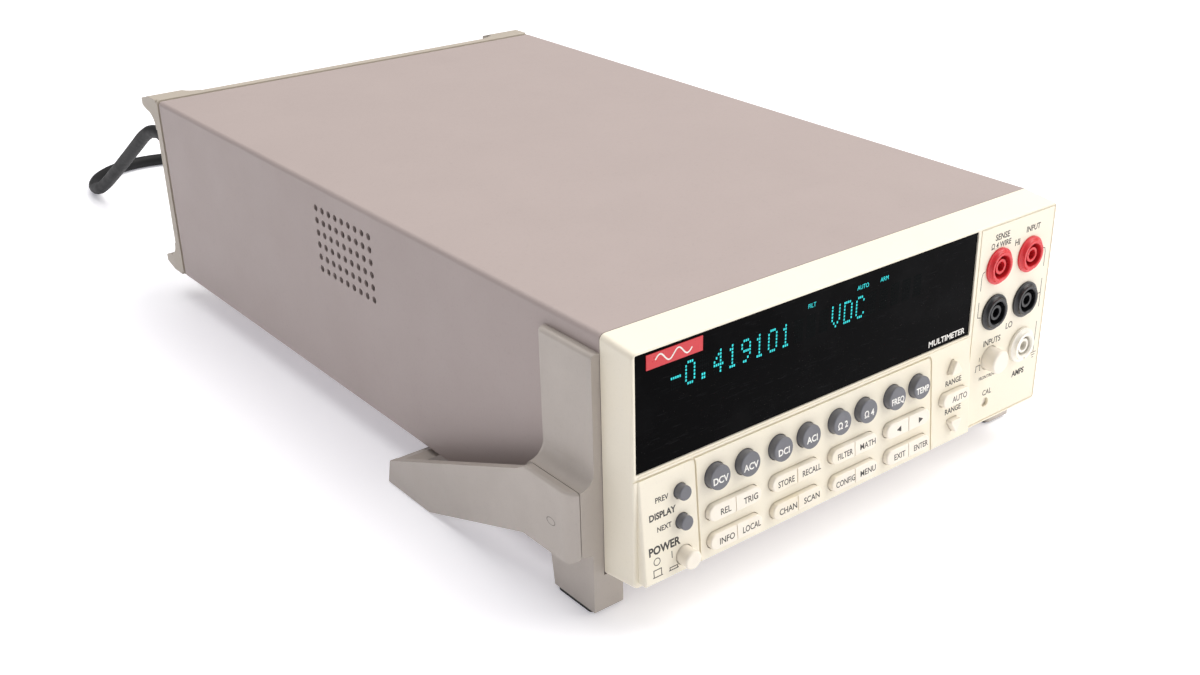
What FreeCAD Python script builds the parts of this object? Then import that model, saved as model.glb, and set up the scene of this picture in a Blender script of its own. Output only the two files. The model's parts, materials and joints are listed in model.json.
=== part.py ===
import FreeCAD, Part
import math
import os
import Sketcher

# Bench multimeter, in millimetres.
# Frame: +Z up, the front panel faces -Y, +X is to the right seen from the front.
# The origin is on the table, under the middle of the instrument.

# ------------------------------------------------------------------ driving sizes
SIZES = [
    # case
    ("case_wide", 213.0, "width of the case"),
    ("case_high", 89.0, "height of the case, without its feet"),
    ("sleeve_long", 339.0, "depth of the sheet-metal sleeve"),
    ("foot_high", 15.0, "table to the underside of the case"),
    ("sleeve_wall", 1.2, "thickness of the sleeve"),
    ("case_edge", 2.0, "rounding along the case's long edges"),
    ("fit_gap", 0.3, "gap between pieces that slide past each other"),
    # front bezel
    ("bezel_deep", 15.5, "sleeve to the front face"),
    ("bezel_draft_side", 0.4, "how far the front face is inset at the sides"),
    ("bezel_draft_top", 1.7, "how far the front face is inset at top and bottom"),
    ("bezel_wall", 2.8, "thickness of the bezel's front wall at the inputs"),
    ("rim_wall", 4.0, "thickness of the bezel's sides"),
    ("window_left", -104.9, "left edge of the window recess"),
    ("window_right", 58.6, "right edge of the window recess"),
    ("window_low", 59.5, "lower edge of the window recess"),
    ("window_high", 101.5, "upper edge of the window recess"),
    ("window_sink", 0.5, "window face below the bezel face"),
    ("window_thick", 2.0, "thickness of the window"),
    ("window_ledge", 4.0, "width of the ledge that carries the window"),
    ("ledge_thick", 2.5, "thickness of that ledge"),
    # raised control panel
    ("panel_left", -104.4, "left end of the control panel"),
    ("panel_right", 59.5, "right end of the control panel"),
    ("panel_low", 18.5, "lower edge of the control panel"),
    ("panel_high", 58.7, "upper edge of the control panel"),
    ("panel_low_step", 3.9, "how far its lower edge stands out"),
    ("panel_high_step", 0.3, "how far its upper edge stands out"),
    ("panel_wall", 2.6, "thickness of the control panel"),
    ("groove_wide", 0.8, "width of the panel grooves"),
    ("groove_bend", 2.5, "radius where a groove turns into the ledge line"),
    ("left_groove", -80.5, "groove right of the power column"),
    ("right_groove", 36.5, "groove left of the range column"),
    # keys
    ("key_gap", 0.3, "gap round a key in its hole"),
    ("flange_thick", 1.0, "thickness of the flange that keeps a key in"),
    ("flange_lip", 0.9, "how far that flange reaches past the hole"),
    ("key_stroke", 1.2, "travel of a key"),
    ("function_radius", 4.5, "radius of a function key"),
    ("function_out", 3.0, "how far a function key stands out"),
    ("function_row", 48.3, "height of the function keys"),
    ("first_pair", -65.5, "centre of the first pair of keys"),
    ("pair_pitch", 29.0, "pitch of the pairs of keys"),
    ("half_pair", 6.8, "half the pitch within a pair"),
    ("rocker_wide", 23.7, "width of a rocker key"),
    ("rocker_high", 5.9, "height of a rocker key"),
    ("rocker_out", 2.2, "how far a rocker key stands out"),
    ("rocker_upper", 35.6, "height of the upper rocker row"),
    ("rocker_lower", 24.9, "height of the lower rocker row"),
    ("rocker_tilt_room", 0.6, "room behind the panel for a rocker to tilt"),
    ("page_radius", 2.6, "radius of the PREV and NEXT keys"),
    ("page_out", 3.0, "how far they stand out"),
    ("page_across", -87.5, "their place across the panel"),
    ("prev_height", 48.2, "height of PREV"),
    ("next_height", 37.3, "height of NEXT"),
    ("range_across", 48.8, "the range keys' place across the panel"),
    ("range_inner", 2.0, "inner radius of the triangular range keys"),
    ("range_out", 2.5, "how far the range keys stand out"),
    ("range_up_height", 49.2, "height of the range-up key"),
    ("range_down_height", 26.4, "height of the range-down key"),
    ("auto_height", 37.5, "height of the auto key"),
    ("auto_wide", 15.4, "width of the auto key"),
    ("auto_high", 5.5, "height across the auto key"),
    ("power_across", -87.3, "the power button's place across the panel"),
    ("power_height", 24.5, "its height"),
    ("power_radius", 3.4, "its radius"),
    ("power_out", 5.0, "how far it stands out when latched in"),
    # inputs
    ("jack_left", 72.4, "the sense jacks' place across the panel"),
    ("jack_right", 91.4, "the input jacks' place across the panel"),
    ("jack_upper", 84.4, "height of the HI jacks"),
    ("jack_lower", 65.3, "height of the LO jacks"),
    ("jack_flange", 7.3, "radius of a jack's flange"),
    ("jack_round", 1.5, "rounding round the front of a flange"),
    ("jack_out", 2.2, "how far the flange stands out"),
    ("jack_shank", 6.4, "radius of a jack's shank"),
    ("jack_well", 4.6, "radius of the well round the contact"),
    ("jack_collar", 3.0, "outer radius of the insulating collar"),
    ("plug_radius", 2.0, "radius of the hole for a 4 mm plug"),
    ("contact_wall", 0.5, "thickness of a contact tube"),
    ("contact_depth", 4.2, "contact behind the flange's front"),
    ("jack_deep", 17.0, "depth of a jack behind the panel"),
    ("amps_across", 92.0, "the amps jack's place across the panel"),
    ("amps_height", 45.5, "its height"),
    ("amps_well", 4.0, "radius of the well in the fuse carrier"),
    ("amps_radius", 7.2, "radius of the amps fuse carrier's head"),
    ("inputs_across", 72.8, "the inputs button's place across the panel"),
    ("inputs_radius", 4.8, "its radius"),
    ("inputs_out", 6.0, "how far it stands out"),
    ("inputs_stroke", 3.5, "its travel"),
    ("cal_across", 73.0, "the calibration button's place across the panel"),
    ("cal_height", 25.8, "its height"),
    ("cal_hole", 2.0, "radius of the hole in front of it"),
    # ears and handle
    ("ear_slab", 3.3, "thickness of the ear's upper part"),
    ("ear_thick", 9.0, "thickness of the ear at the pivot"),
    ("ear_long", 30.0, "length of an ear along the case"),
    ("foot_long", 25.8, "length of the ear's foot at its top"),
    ("foot_taper", 3.2, "how much shorter the foot is at the table"),
    ("ear_top", 97.5, "height of the ear's top"),
    ("flare_top", 55.7, "height where the ear starts to flare out"),
    ("flare_low", 50.2, "height where the flare ends"),
    ("ear_under", 24.8, "height of the underside of the ear's thick part"),
    ("foot_out", 4.4, "the foot's outer face beyond the case side"),
    ("foot_in", 8.5, "the foot's inner face inside the case side"),
    ("pad_thick", 1.3, "thickness of the rubber pads"),
    ("pad_inset", 0.2, "front pads inside the outline of the feet"),
    ("pivot_back", 12.5, "pivot behind the front end of the sleeve"),
    ("pivot_height", 36.4, "height of the pivot"),
    ("pivot_radius", 6.0, "radius of the handle's stub shaft"),
    ("pivot_play", 0.06, "radial clearance of the stub in its bore"),
    ("pivot_deep", 5.8, "length of the stub shaft"),
    ("arm_thick", 3.2, "thickness of a handle arm"),
    ("bar_back", 122.4, "handle's far end behind the front end of the sleeve"),
    ("bar_wide", 15.0, "width of the cross bar"),
    ("bar_high", 12.8, "height of the cross bar"),
    ("floor_gap", 0.5, "folded handle above the table"),
    # rear
    ("frame_deep", 8.5, "depth of the rear frame"),
    ("frame_groove", 2.2, "width of the shadow groove at the rear seam"),
    ("standoff_reach", 15.3, "how far the rear stand-offs stand out"),
    ("standoff_wide", 16.5, "width of a stand-off"),
    ("standoff_high", 7.5, "height of a stand-off"),
    ("frame_wall", 3.2, "wall of the rear frame round the rear panel"),
    ("frame_rim", 7.0, "width of the rear frame's face"),
    ("sheet", 1.2, "thickness of chassis and rear panel"),
    ("inlet_across", -82.0, "mains inlet's place across the back"),
    ("inlet_height", 68.0, "its height"),
    # vents
    ("vent_radius", 1.45, "radius of a vent hole"),
    ("vent_first", -25.75, "first column of vents"),
    ("vent_pitch", 5.25, "pitch of the vents"),
    ("vent_top", 93.75, "height of the top row of vents"),
    # boards
    ("board", 1.6, "thickness of a circuit board"),
    ("board_stand", 8.0, "digital board above the chassis"),
    # cord
    ("cord_radius", 3.5, "half the cord's diameter"),
    ("coil_radius", 38.5, "mean radius of the coiled cord"),
]
VENT_COLUMNS = 9
VENT_ROWS = 6
KEY_PAIRS = 4
SIDES = (("left", -1), ("right", 1))

doc = FreeCAD.newDocument("Multimeter")
sheet_object = doc.addObject("Spreadsheet::Sheet", "Sizes")


class Size:
    """A number that carries the expression, in the spreadsheet's names, that gives it."""

    def __init__(self, value, text):
        self.value = float(value)
        self.text = text

    def __add__(self, other):
        return joined(self, "+", other)

    def __radd__(self, other):
        return joined(other, "+", self)

    def __sub__(self, other):
        return joined(self, "-", other)

    def __rsub__(self, other):
        return joined(other, "-", self)

    def __mul__(self, other):
        return joined(self, "*", other)

    def __rmul__(self, other):
        return joined(other, "*", self)

    def __truediv__(self, other):
        return joined(self, "/", other)

    def __neg__(self):
        return Size(-self.value, "(0 - %s)" % self.text)


def size(thing):
    """Any number as a Size."""
    if isinstance(thing, Size):
        return thing
    text = "%.5f" % abs(thing)
    return Size(thing, "(0 - %s)" % text if thing < 0 else text)


def joined(first, sign, second):
    first = size(first)
    second = size(second)
    results = {"+": first.value + second.value, "-": first.value - second.value,
               "*": first.value * second.value}
    value = first.value / second.value if sign == "/" else results[sign]
    return Size(value, "(%s %s %s)" % (first.text, sign, second.text))


def read_sizes():
    """Fills the spreadsheet and returns its cells as Sizes, by alias."""
    named = {}
    for row, (alias, value, note) in enumerate(SIZES, start=1):
        sheet_object.set("A%d" % row, alias)
        sheet_object.set("B%d" % row, "%g" % value)
        sheet_object.setAlias("B%d" % row, alias)
        sheet_object.set("C%d" % row, note)
        named[alias] = Size(value, "Sizes." + alias)
    doc.recompute()
    return named


S = read_sizes()
parts = []


def vector(x=0.0, y=0.0, z=0.0):
    return FreeCAD.Vector(x, y, z)


def keep(label, thing):
    """Registers a finished sub-part under the name of its file."""
    thing.Label = label
    parts.append(thing)
    return thing


# ------------------------------------------------------------------ sketches and bodies
class Round:
    """A circle in a sketch."""

    def __init__(self, radius, across=0, up=0):
        self.radius = size(radius)
        self.across = size(across)
        self.up = size(up)


def arc_between(begin, finish, radius, turn):
    """Sketch arc between two points; turn is 1 when it runs counter-clockwise."""
    middle = (begin + finish) * 0.5
    chord = finish - begin
    rise = math.sqrt(max(radius ** 2 - (chord.Length / 2) ** 2, 0.0))
    side = vector(-chord.y, chord.x, 0).normalize()
    centre = middle + side * rise * turn
    first, last = (begin, finish) if turn > 0 else (finish, begin)
    start = math.atan2(first.y - centre.y, first.x - centre.x)
    end = math.atan2(last.y - centre.y, last.x - centre.x)
    if end <= start:
        end += 2 * math.pi
    return Part.ArcOfCircle(Part.Circle(centre, vector(0, 0, 1), radius), start, end)


def tie(sketch, kind, where, amount):
    """A sketch dimension bound to the spreadsheet; a plain zero ties the point to an axis."""
    if kind != "Radius" and amount.text == "0.00000":
        axis = -2 if kind == "DistanceX" else -1
        sketch.addConstraint(Sketcher.Constraint("PointOnObject", where[0], where[1], axis))
        return
    if kind == "Radius":
        number = sketch.addConstraint(Sketcher.Constraint("Radius", where[0], amount.value))
    else:
        number = sketch.addConstraint(
            Sketcher.Constraint(kind, -1, 1, where[0], where[1], amount.value))
    sketch.setExpression("Constraints[%d]" % number, amount.text)


def draw_round(sketch, circle):
    centre = vector(circle.across.value, circle.up.value)
    index = sketch.addGeometry(Part.Circle(centre, vector(0, 0, 1), circle.radius.value))
    tie(sketch, "Radius", (index, 0), circle.radius)
    tie(sketch, "DistanceX", (index, 3), circle.across)
    tie(sketch, "DistanceY", (index, 3), circle.up)


def draw_path(sketch, path):
    """Closed outline. A corner is (across, up), or (across, up, radius, turn) after an arc."""
    corners = [[size(corner[0]), size(corner[1])] + list(corner[2:]) for corner in path]
    spots = [vector(corner[0].value, corner[1].value) for corner in corners]
    ends = []
    first = sketch.GeometryCount
    for index, corner in enumerate(corners):
        if len(corner) == 2:
            sketch.addGeometry(Part.LineSegment(spots[index - 1], spots[index]))
            ends.append((1, 2))
        else:
            sketch.addGeometry(
                arc_between(spots[index - 1], spots[index], size(corner[2]).value, corner[3]))
            ends.append((1, 2) if corner[3] > 0 else (2, 1))
    for index, corner in enumerate(corners):
        here = first + index
        following = first + (index + 1) % len(corners)
        begin_of_next = ends[(index + 1) % len(corners)][0]
        sketch.addConstraint(
            Sketcher.Constraint("Coincident", here, ends[index][1], following, begin_of_next))
        tie(sketch, "DistanceX", (here, ends[index][1]), corner[0])
        tie(sketch, "DistanceY", (here, ends[index][1]), corner[1])
        if len(corner) > 2:
            tie(sketch, "Radius", (here, 0), size(corner[2]))


def draw(sketch, shapes):
    for shape in shapes if isinstance(shapes, tuple) else (shapes,):
        if isinstance(shape, Round):
            draw_round(sketch, shape)
        else:
            draw_path(sketch, shape)


def new_body(name):
    return doc.addObject("PartDesign::Body", name)


def new_sketch(body, name, plane, start):
    """Sketch parallel to one of the body's origin planes, start away from it."""
    sketch = body.newObject("Sketcher::SketchObject", name + "_sketch")
    support = [item for item in body.Origin.OriginFeatures if item.Role == plane][0]
    sketch.AttachmentSupport = [(support, "")]
    sketch.MapMode = "FlatFace"
    start = size(start)
    sketch.AttachmentOffset = FreeCAD.Placement(vector(0, 0, start.value), FreeCAD.Rotation())
    sketch.setExpression("AttachmentOffset.Base.z", start.text)
    return sketch


def pad(body, name, plane, shapes, start, length):
    """Outline drawn out along the plane's normal: +X for YZ, -Y for XZ, +Z for XY."""
    sketch = new_sketch(body, name, plane, start)
    draw(sketch, shapes)
    feature = body.newObject("PartDesign::Pad", name)
    feature.Profile = sketch
    feature.setExpression("Length", size(length).text)
    return feature


def pocket(body, name, plane, shapes, start, length):
    """Outline cut against the plane's normal; the volume has to go down."""
    doc.recompute()
    before = body.Shape.Volume
    sketch = new_sketch(body, name, plane, start)
    draw(sketch, shapes)
    feature = body.newObject("PartDesign::Pocket", name)
    feature.Profile = sketch
    feature.setExpression("Length", size(length).text)
    doc.recompute()
    if body.Shape.Volume > before - 0.01:
        raise ValueError(name + " cuts nothing")
    return feature


def turned(body, name, outline):
    """Outline in the XY plane, x the radius and y the depth, turned round the Y axis."""
    sketch = new_sketch(body, name, "XY_Plane", 0)
    draw(sketch, outline)
    feature = body.newObject("PartDesign::Revolution", name)
    feature.Profile = sketch
    feature.ReferenceAxis = (sketch, ["V_Axis"])
    feature.Angle = 360
    return feature


def edges_where(shape, wanted):
    return ["Edge%d" % number for number, edge in enumerate(shape.Edges, start=1) if wanted(edge)]


def along(axis, edge):
    """True for a straight edge that runs along an axis."""
    if not isinstance(edge.Curve, Part.Line):
        return False
    return abs(abs(edge.Curve.Direction.dot(axis)) - 1) < 1e-6


def round_off(body, name, radius, wanted):
    """PartDesign fillet on the edges of the body's tip that wanted picks."""
    doc.recompute()
    tip = body.Tip
    names = edges_where(tip.Shape, wanted)
    if not names:
        raise ValueError(name + " finds no edge")
    feature = body.newObject("PartDesign::Fillet", name)
    feature.Base = (tip, names)
    feature.setExpression("Radius", size(radius).text)
    return feature


def place(thing, x, y, z, lean=None):
    """Moves a sub-part; lean tips its top backwards about X."""
    if lean is not None:
        thing.Placement = FreeCAD.Placement(vector(), FreeCAD.Rotation(vector(-1, 0, 0), lean.value))
        thing.setExpression("Placement.Rotation.Angle", lean.text)
    for axis, amount in zip("xyz", (x, y, z)):
        thing.setExpression("Placement.Base." + axis, size(amount).text)
    return thing


def rectangle(low_u, low_v, high_u, high_v):
    return [(low_u, low_v), (high_u, low_v), (high_u, high_v), (low_u, high_v)]


# ------------------------------------------------------------------ primitives and booleans
def box(name, low, high):
    thing = doc.addObject("Part::Box", name)
    low = [size(value) for value in low]
    high = [size(value) for value in high]
    for key, index in (("Length", 0), ("Width", 1), ("Height", 2)):
        thing.setExpression(key, (high[index] - low[index]).text)
    return place(thing, *low)


def rod(name, radius, start, length, axis="y"):
    """Cylinder from start along +X, +Y or +Z."""
    thing = doc.addObject("Part::Cylinder", name)
    turns = {"x": FreeCAD.Rotation(vector(0, 1, 0), 90), "y": FreeCAD.Rotation(vector(1, 0, 0), -90),
             "z": FreeCAD.Rotation()}
    thing.Placement = FreeCAD.Placement(vector(), turns[axis])
    thing.setExpression("Radius", size(radius).text)
    thing.setExpression("Height", size(length).text)
    return place(thing, *start)


def cone(name, near, far, start, length):
    """Cone from start along +Y, radius near to radius far."""
    thing = doc.addObject("Part::Cone", name)
    thing.Placement = FreeCAD.Placement(vector(), FreeCAD.Rotation(vector(1, 0, 0), -90))
    thing.setExpression("Radius1", size(near).text)
    thing.setExpression("Radius2", size(far).text)
    thing.setExpression("Height", size(length).text)
    return place(thing, *start)


def cut(name, base, tools):
    """Base without its tools."""
    tool = tools[0]
    if len(tools) > 1:
        tool = doc.addObject("Part::MultiFuse", name + "_tools")
        tool.Shapes = tools
    thing = doc.addObject("Part::Cut", name)
    thing.Base = base
    thing.Tool = tool
    return thing


def fuse(name, shapes):
    thing = doc.addObject("Part::MultiFuse", name)
    thing.Shapes = shapes
    return thing


def group(name, shapes):
    """Separate like solids as one sub-part."""
    thing = doc.addObject("Part::Compound", name)
    thing.Links = shapes
    return thing


def fillet(name, base, radius, wanted):
    doc.recompute()
    thing = doc.addObject("Part::Fillet", name)
    thing.Base = base
    amount = size(radius).value
    edges = [number for number, edge in enumerate(base.Shape.Edges, start=1) if wanted(edge)]
    if not edges:
        raise ValueError(name + " finds no edge")
    thing.Edges = [(number, amount, amount) for number in edges]
    return thing


X_AXIS = vector(1, 0, 0)
Y_AXIS = vector(0, 1, 0)
Z_AXIS = vector(0, 0, 1)

# ------------------------------------------------------------------ places worked out once
half_wide = S["case_wide"] / 2
half_long = S["sleeve_long"] / 2
case_top = S["foot_high"] + S["case_high"]
front_face = -(half_long + S["bezel_deep"])
rear_face = half_long + S["frame_deep"]
rear_tip = rear_face + S["standoff_reach"]
window_seat = front_face + S["window_sink"] + S["window_thick"]
ledge_back = window_seat + S["ledge_thick"]
board_front = ledge_back + 5.2
inner_half = half_wide - S["sleeve_wall"] - S["fit_gap"] - 0.1
inner_low = S["foot_high"] + S["sleeve_wall"] + S["fit_gap"] + 0.2
inner_top = case_top - S["sleeve_wall"] - S["fit_gap"] - 0.2
chassis_floor = inner_low + 0.3 + S["sheet"]
pivot_y = S["pivot_back"] - half_long
panel_rise = S["panel_low_step"] - S["panel_high_step"]
panel_run = S["panel_high"] - S["panel_low"]
lean = Size(math.degrees(math.atan(panel_rise.value / panel_run.value)),
            "atan(%s / %s)" % (panel_rise.text, panel_run.text))
bezel_inside_side = half_wide - S["rim_wall"]
bezel_inside_low = S["foot_high"] + S["rim_wall"] + 0.5
bezel_inside_top = case_top - S["rim_wall"] - 0.5
rear_panel_front = rear_face - S["sheet"] - S["rim_wall"]


def panel_face(height):
    """Y of the control panel's face at a height."""
    step = S["panel_low_step"] - (height - S["panel_low"]) * panel_rise / panel_run
    return front_face - step


def column(index):
    """Centre of a pair of keys, counted from the left."""
    return S["first_pair"] + S["pair_pitch"] * index


# ------------------------------------------------------------------ keys
panel_tools = []
hidden_top = S["panel_wall"] + S["key_gap"]


def hole_start():
    return -(S["panel_wall"] + 3.0)


def hole_length():
    return S["panel_wall"] + 5.0


def soften_corners(body, name, radius):
    """Rounds the edges that run along the press direction."""
    round_off(body, name, radius, lambda edge: along(Y_AXIS, edge))


def soften_face(body, name, radius, out):
    """Rounds the rim of the outer face."""
    def on_face(edge):
        return all(abs(vertex.Point.y + out.value) < 1e-4 for vertex in edge.Vertexes)
    round_off(body, name, radius, on_face)


def press_key(label, shape_of, across, height, out, corner=None, lip=None):
    """Key that is pushed straight in: a flange behind the panel and a head through its hole."""
    lip = S["key_gap"] + (lip or S["flange_lip"])
    key = new_body(label)
    pad(key, label + "_head", "XZ_Plane", shape_of(0), -hidden_top, hidden_top + out)
    if corner:
        soften_corners(key, label + "_corners", corner)
    soften_face(key, label + "_rim", 0.5, out)
    pad(key, label + "_flange", "XZ_Plane", shape_of(lip), -hidden_top - S["flange_thick"],
        S["flange_thick"])
    place(key, across, panel_face(height), height, lean)
    hole = new_body(label + "_hole")
    pad(hole, label + "_hole_pad", "XZ_Plane", shape_of(S["key_gap"]), hole_start(), hole_length())
    if corner:
        soften_corners(hole, label + "_hole_corners", size(corner) + S["key_gap"])
    place(hole, across, panel_face(height), height, lean)
    panel_tools.append(hole)
    return keep(label, key)


def function_keys():
    def disc(extra):
        return Round(S["function_radius"] + extra)
    names = ("dc_volts", "ac_volts", "dc_amps", "ac_amps", "ohms_two_wire", "ohms_four_wire",
             "frequency", "temperature")
    for number, name in enumerate(names):
        side = -1 if number % 2 == 0 else 1
        across = column(number // 2) + S["half_pair"] * side
        press_key(name + "_key", disc, across, S["function_row"], S["function_out"])


def page_keys():
    def disc(extra):
        return Round(S["page_radius"] + extra)
    for name in ("prev", "next"):
        press_key(name + "_key", disc, S["page_across"], S[name + "_height"], S["page_out"])


def range_keys():
    def triangle(up):
        def outline(extra):
            inner = S["range_inner"] + extra
            half = inner * math.sqrt(3)
            return [(-half, inner * -up), (half, inner * -up), (0, inner * 2 * up)]
        return outline

    def capsule(extra):
        return rectangle(-(S["auto_wide"] / 2 + extra), -(S["auto_high"] / 2 + extra),
                         S["auto_wide"] / 2 + extra, S["auto_high"] / 2 + extra)
    press_key("range_up_key", triangle(1), S["range_across"], S["range_up_height"],
              S["range_out"], 0.7, S["flange_lip"] * 0.6)
    press_key("auto_range_key", capsule, S["range_across"], S["auto_height"],
              S["range_out"], S["auto_high"] * 0.49)
    press_key("range_down_key", triangle(-1), S["range_across"], S["range_down_height"],
              S["range_out"], 0.7, S["flange_lip"] * 0.6)


def rocker_keys():
    """Two-way keys. Each tilts about a line up the panel through its middle."""
    names = (("rel_trig", "store_recall", "filter_math", "cursor"),
             ("info_local", "chan_scan", "config_menu", "exit_enter"))
    half_w = S["rocker_wide"] / 2
    half_h = S["rocker_high"] / 2
    back = S["panel_wall"] + S["key_gap"]
    out = S["rocker_out"]
    for row, height in enumerate((S["rocker_upper"], S["rocker_lower"])):
        for index in range(KEY_PAIRS):
            label = names[row][index] + "_rocker"
            key = new_body(label)
            pad(key, label + "_cap", "XZ_Plane", rectangle(-half_w, -half_h, half_w, half_h),
                -back, back + out)
            soften_corners(key, label + "_ends", S["rocker_high"] * 0.49)
            soften_face(key, label + "_rim", 0.5, out)
            pocket(key, label + "_divide", "XZ_Plane", rectangle(-0.25, -half_h - 1, 0.25, half_h + 1),
                   out, 0.35)
            catch = half_h + S["key_gap"] + 0.6
            pad(key, label + "_catch", "XZ_Plane", rectangle(-5.0, -catch, 5.0, catch),
                -S["panel_wall"] - S["rocker_tilt_room"] - S["flange_thick"], S["flange_thick"])
            pad(key, label + "_stem", "XZ_Plane", rectangle(-4.0, -half_h, 4.0, half_h),
                -S["panel_wall"] - S["rocker_tilt_room"] - 0.1, S["rocker_tilt_room"] + 0.1)
            place(key, column(index), panel_face(height), height, lean)
            keep(label, key)
            hole = new_body(label + "_hole")
            gap = S["key_gap"]
            pad(hole, label + "_hole_pad", "XZ_Plane",
                rectangle(-half_w - gap, -half_h - gap, half_w + gap, half_h + gap),
                hole_start(), hole_length())
            soften_corners(hole, label + "_hole_ends", (half_h + gap) * 0.98)
            place(hole, column(index), panel_face(height), height, lean)
            panel_tools.append(hole)


# ------------------------------------------------------------------ front bezel and window
def bezel_shell():
    """Drafted block with rounded edges, and the raised control panel on it."""
    block = doc.addObject("Part::Wedge", "bezel_block")
    side = S["bezel_draft_side"]
    top = S["bezel_draft_top"]
    values = {"Xmin": side - half_wide, "Xmax": half_wide - side, "X2min": -half_wide,
              "X2max": half_wide, "Ymin": front_face, "Ymax": S["fit_gap"] * -1 - half_long,
              "Zmin": S["foot_high"] + top, "Zmax": case_top - top, "Z2min": S["foot_high"],
              "Z2max": case_top}
    for key, value in values.items():
        setattr(block, key, value.value)
    for key, value in values.items():
        block.setExpression(key, value.text)
    long_edges = fillet("bezel_corners", block, S["case_edge"] + 0.2,
                        lambda edge: abs(edge.tangentAt(edge.FirstParameter).y) > 0.9)
    rim = fillet("bezel_rim", long_edges, 0.8,
                 lambda edge: all(abs(v.Point.y - front_face.value) < 1e-4 for v in edge.Vertexes))
    raised = new_body("control_panel")
    outline = [(front_face + 1.5, S["panel_low"]), (front_face + 1.5, S["panel_high"]),
               (panel_face(S["panel_high"]), S["panel_high"]),
               (panel_face(S["panel_low"]), S["panel_low"])]
    pad(raised, "control_panel_pad", "YZ_Plane", outline, S["panel_left"],
        S["panel_right"] - S["panel_left"])
    lower = S["panel_low"].value
    inner = (front_face + 1.5).value
    round_off(raised, "control_panel_rim", 0.8,
              lambda edge: min(v.Point.y for v in edge.Vertexes) < inner - 1.9
              and not (along(X_AXIS, edge) and edge.Vertexes[0].Point.z > lower + 1))
    spigot = box("bezel_spigot", (-inner_half, S["fit_gap"] * -2 - half_long, inner_low),
                 (inner_half, 4.5 - half_long, inner_top))
    spigot_round = fillet("bezel_spigot_round", spigot, S["case_edge"] / 2,
                          lambda edge: along(Y_AXIS, edge))
    return fuse("bezel_outside", [rim, raised, spigot_round])


def bezel_hollows():
    """Everything that is cut out of the bezel, apart from the key holes."""
    flat = box("hollow_behind", (-bezel_inside_side, ledge_back, bezel_inside_low),
               (bezel_inside_side, -half_long + 6, bezel_inside_top))
    inputs = box("hollow_inputs", (S["panel_right"] + 2.2, front_face + S["bezel_wall"], bezel_inside_low),
                 (bezel_inside_side, ledge_back + 1, bezel_inside_top))
    panel = new_body("hollow_panel")
    low = S["panel_low"] + 1.7
    high = S["panel_high"] - 0.6
    inset = S["panel_wall"]
    outline = [(ledge_back + 1, low), (ledge_back + 1, high), (panel_face(high) + inset, high),
               (panel_face(low) + inset, low)]
    pad(panel, "hollow_panel_pad", "YZ_Plane", outline, -bezel_inside_side,
        bezel_inside_side + S["panel_right"] - 1.6)
    recess = box("window_recess", (S["window_left"], front_face - 1, S["window_low"]),
                 (S["window_right"], window_seat, S["window_high"]))
    recess_round = fillet("window_recess_round", recess, 0.6, lambda edge: along(Y_AXIS, edge))
    ledge = S["window_ledge"]
    opening = box("window_opening",
                  (S["window_left"] + ledge, window_seat - 1, S["window_low"] + ledge),
                  (S["window_right"] - ledge, ledge_back + 1, S["window_high"] - ledge))
    return [flat, inputs, panel, recess_round, opening]


def bezel_grooves():
    """Grooves that divide the control panel, each turning left into the line under the window."""
    tools = []
    half = S["groove_wide"] / 2
    bend = S["groove_bend"]
    top = panel_run - 0.5
    starts = {"left_groove": S["panel_left"] - 2, "right_groove": S["left_groove"] - bend}
    for name, left in starts.items():
        across = S[name]
        body = new_body(name)
        outline = [(across - half, -2), (across + half, -2), (across + half, top - bend),
                   (across - bend + half, top, bend, 1), (left, top),
                   (left, top - S["groove_wide"]),
                   (across - bend + half, top - S["groove_wide"]),
                   (across - half, top - bend, bend - S["groove_wide"], -1)]
        pad(body, name + "_pad", "XZ_Plane", outline, -S["groove_wide"], 3)
        place(body, 0, panel_face(S["panel_low"]), S["panel_low"], lean)
        tools.append(body)
    line = 0.6
    line_right = half_wide - S["bezel_draft_side"] - 0.9
    line_low = S["foot_high"] + S["bezel_draft_top"] + 1.0
    line_top = case_top - S["bezel_draft_top"] - 0.7
    frame_out = box("input_line_outer", (S["panel_right"] + 0.6, front_face - 1, line_low),
                    (line_right, front_face + 0.4, line_top))
    frame_in = box("input_line_inner", (S["panel_right"] + 0.6 + line, front_face - 2, line_low + line),
                   (line_right - line, front_face + 1, line_top - line))
    tools.append(cut("input_line", frame_out, [frame_in]))
    return tools


def bezel_bores():
    """Round holes for the jacks and the buttons that move straight back."""
    tools = []
    holes = [("power_hole", S["power_across"], S["power_height"], S["power_radius"] + S["key_gap"]),
             ("inputs_hole", S["inputs_across"], S["amps_height"], S["inputs_radius"] + S["key_gap"]),
             ("amps_hole", S["amps_across"], S["amps_height"], S["jack_shank"] + 0.05),
             ("cal_opening", S["cal_across"], S["cal_height"], S["cal_hole"])]
    for row, height in (("upper", S["jack_upper"]), ("lower", S["jack_lower"])):
        for side, across in (("sense", S["jack_left"]), ("input", S["jack_right"])):
            holes.append(("%s_%s_bore" % (side, row), across, height, S["jack_shank"] + 0.05))
    for name, across, height, radius in holes:
        tools.append(rod(name, radius, (across, front_face - 8, height), S["bezel_wall"] + 12))
    return tools


def front_bezel():
    tools = bezel_hollows() + bezel_grooves() + bezel_bores() + panel_tools
    keep("front_bezel", cut("front_bezel", bezel_shell(), tools))


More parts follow.
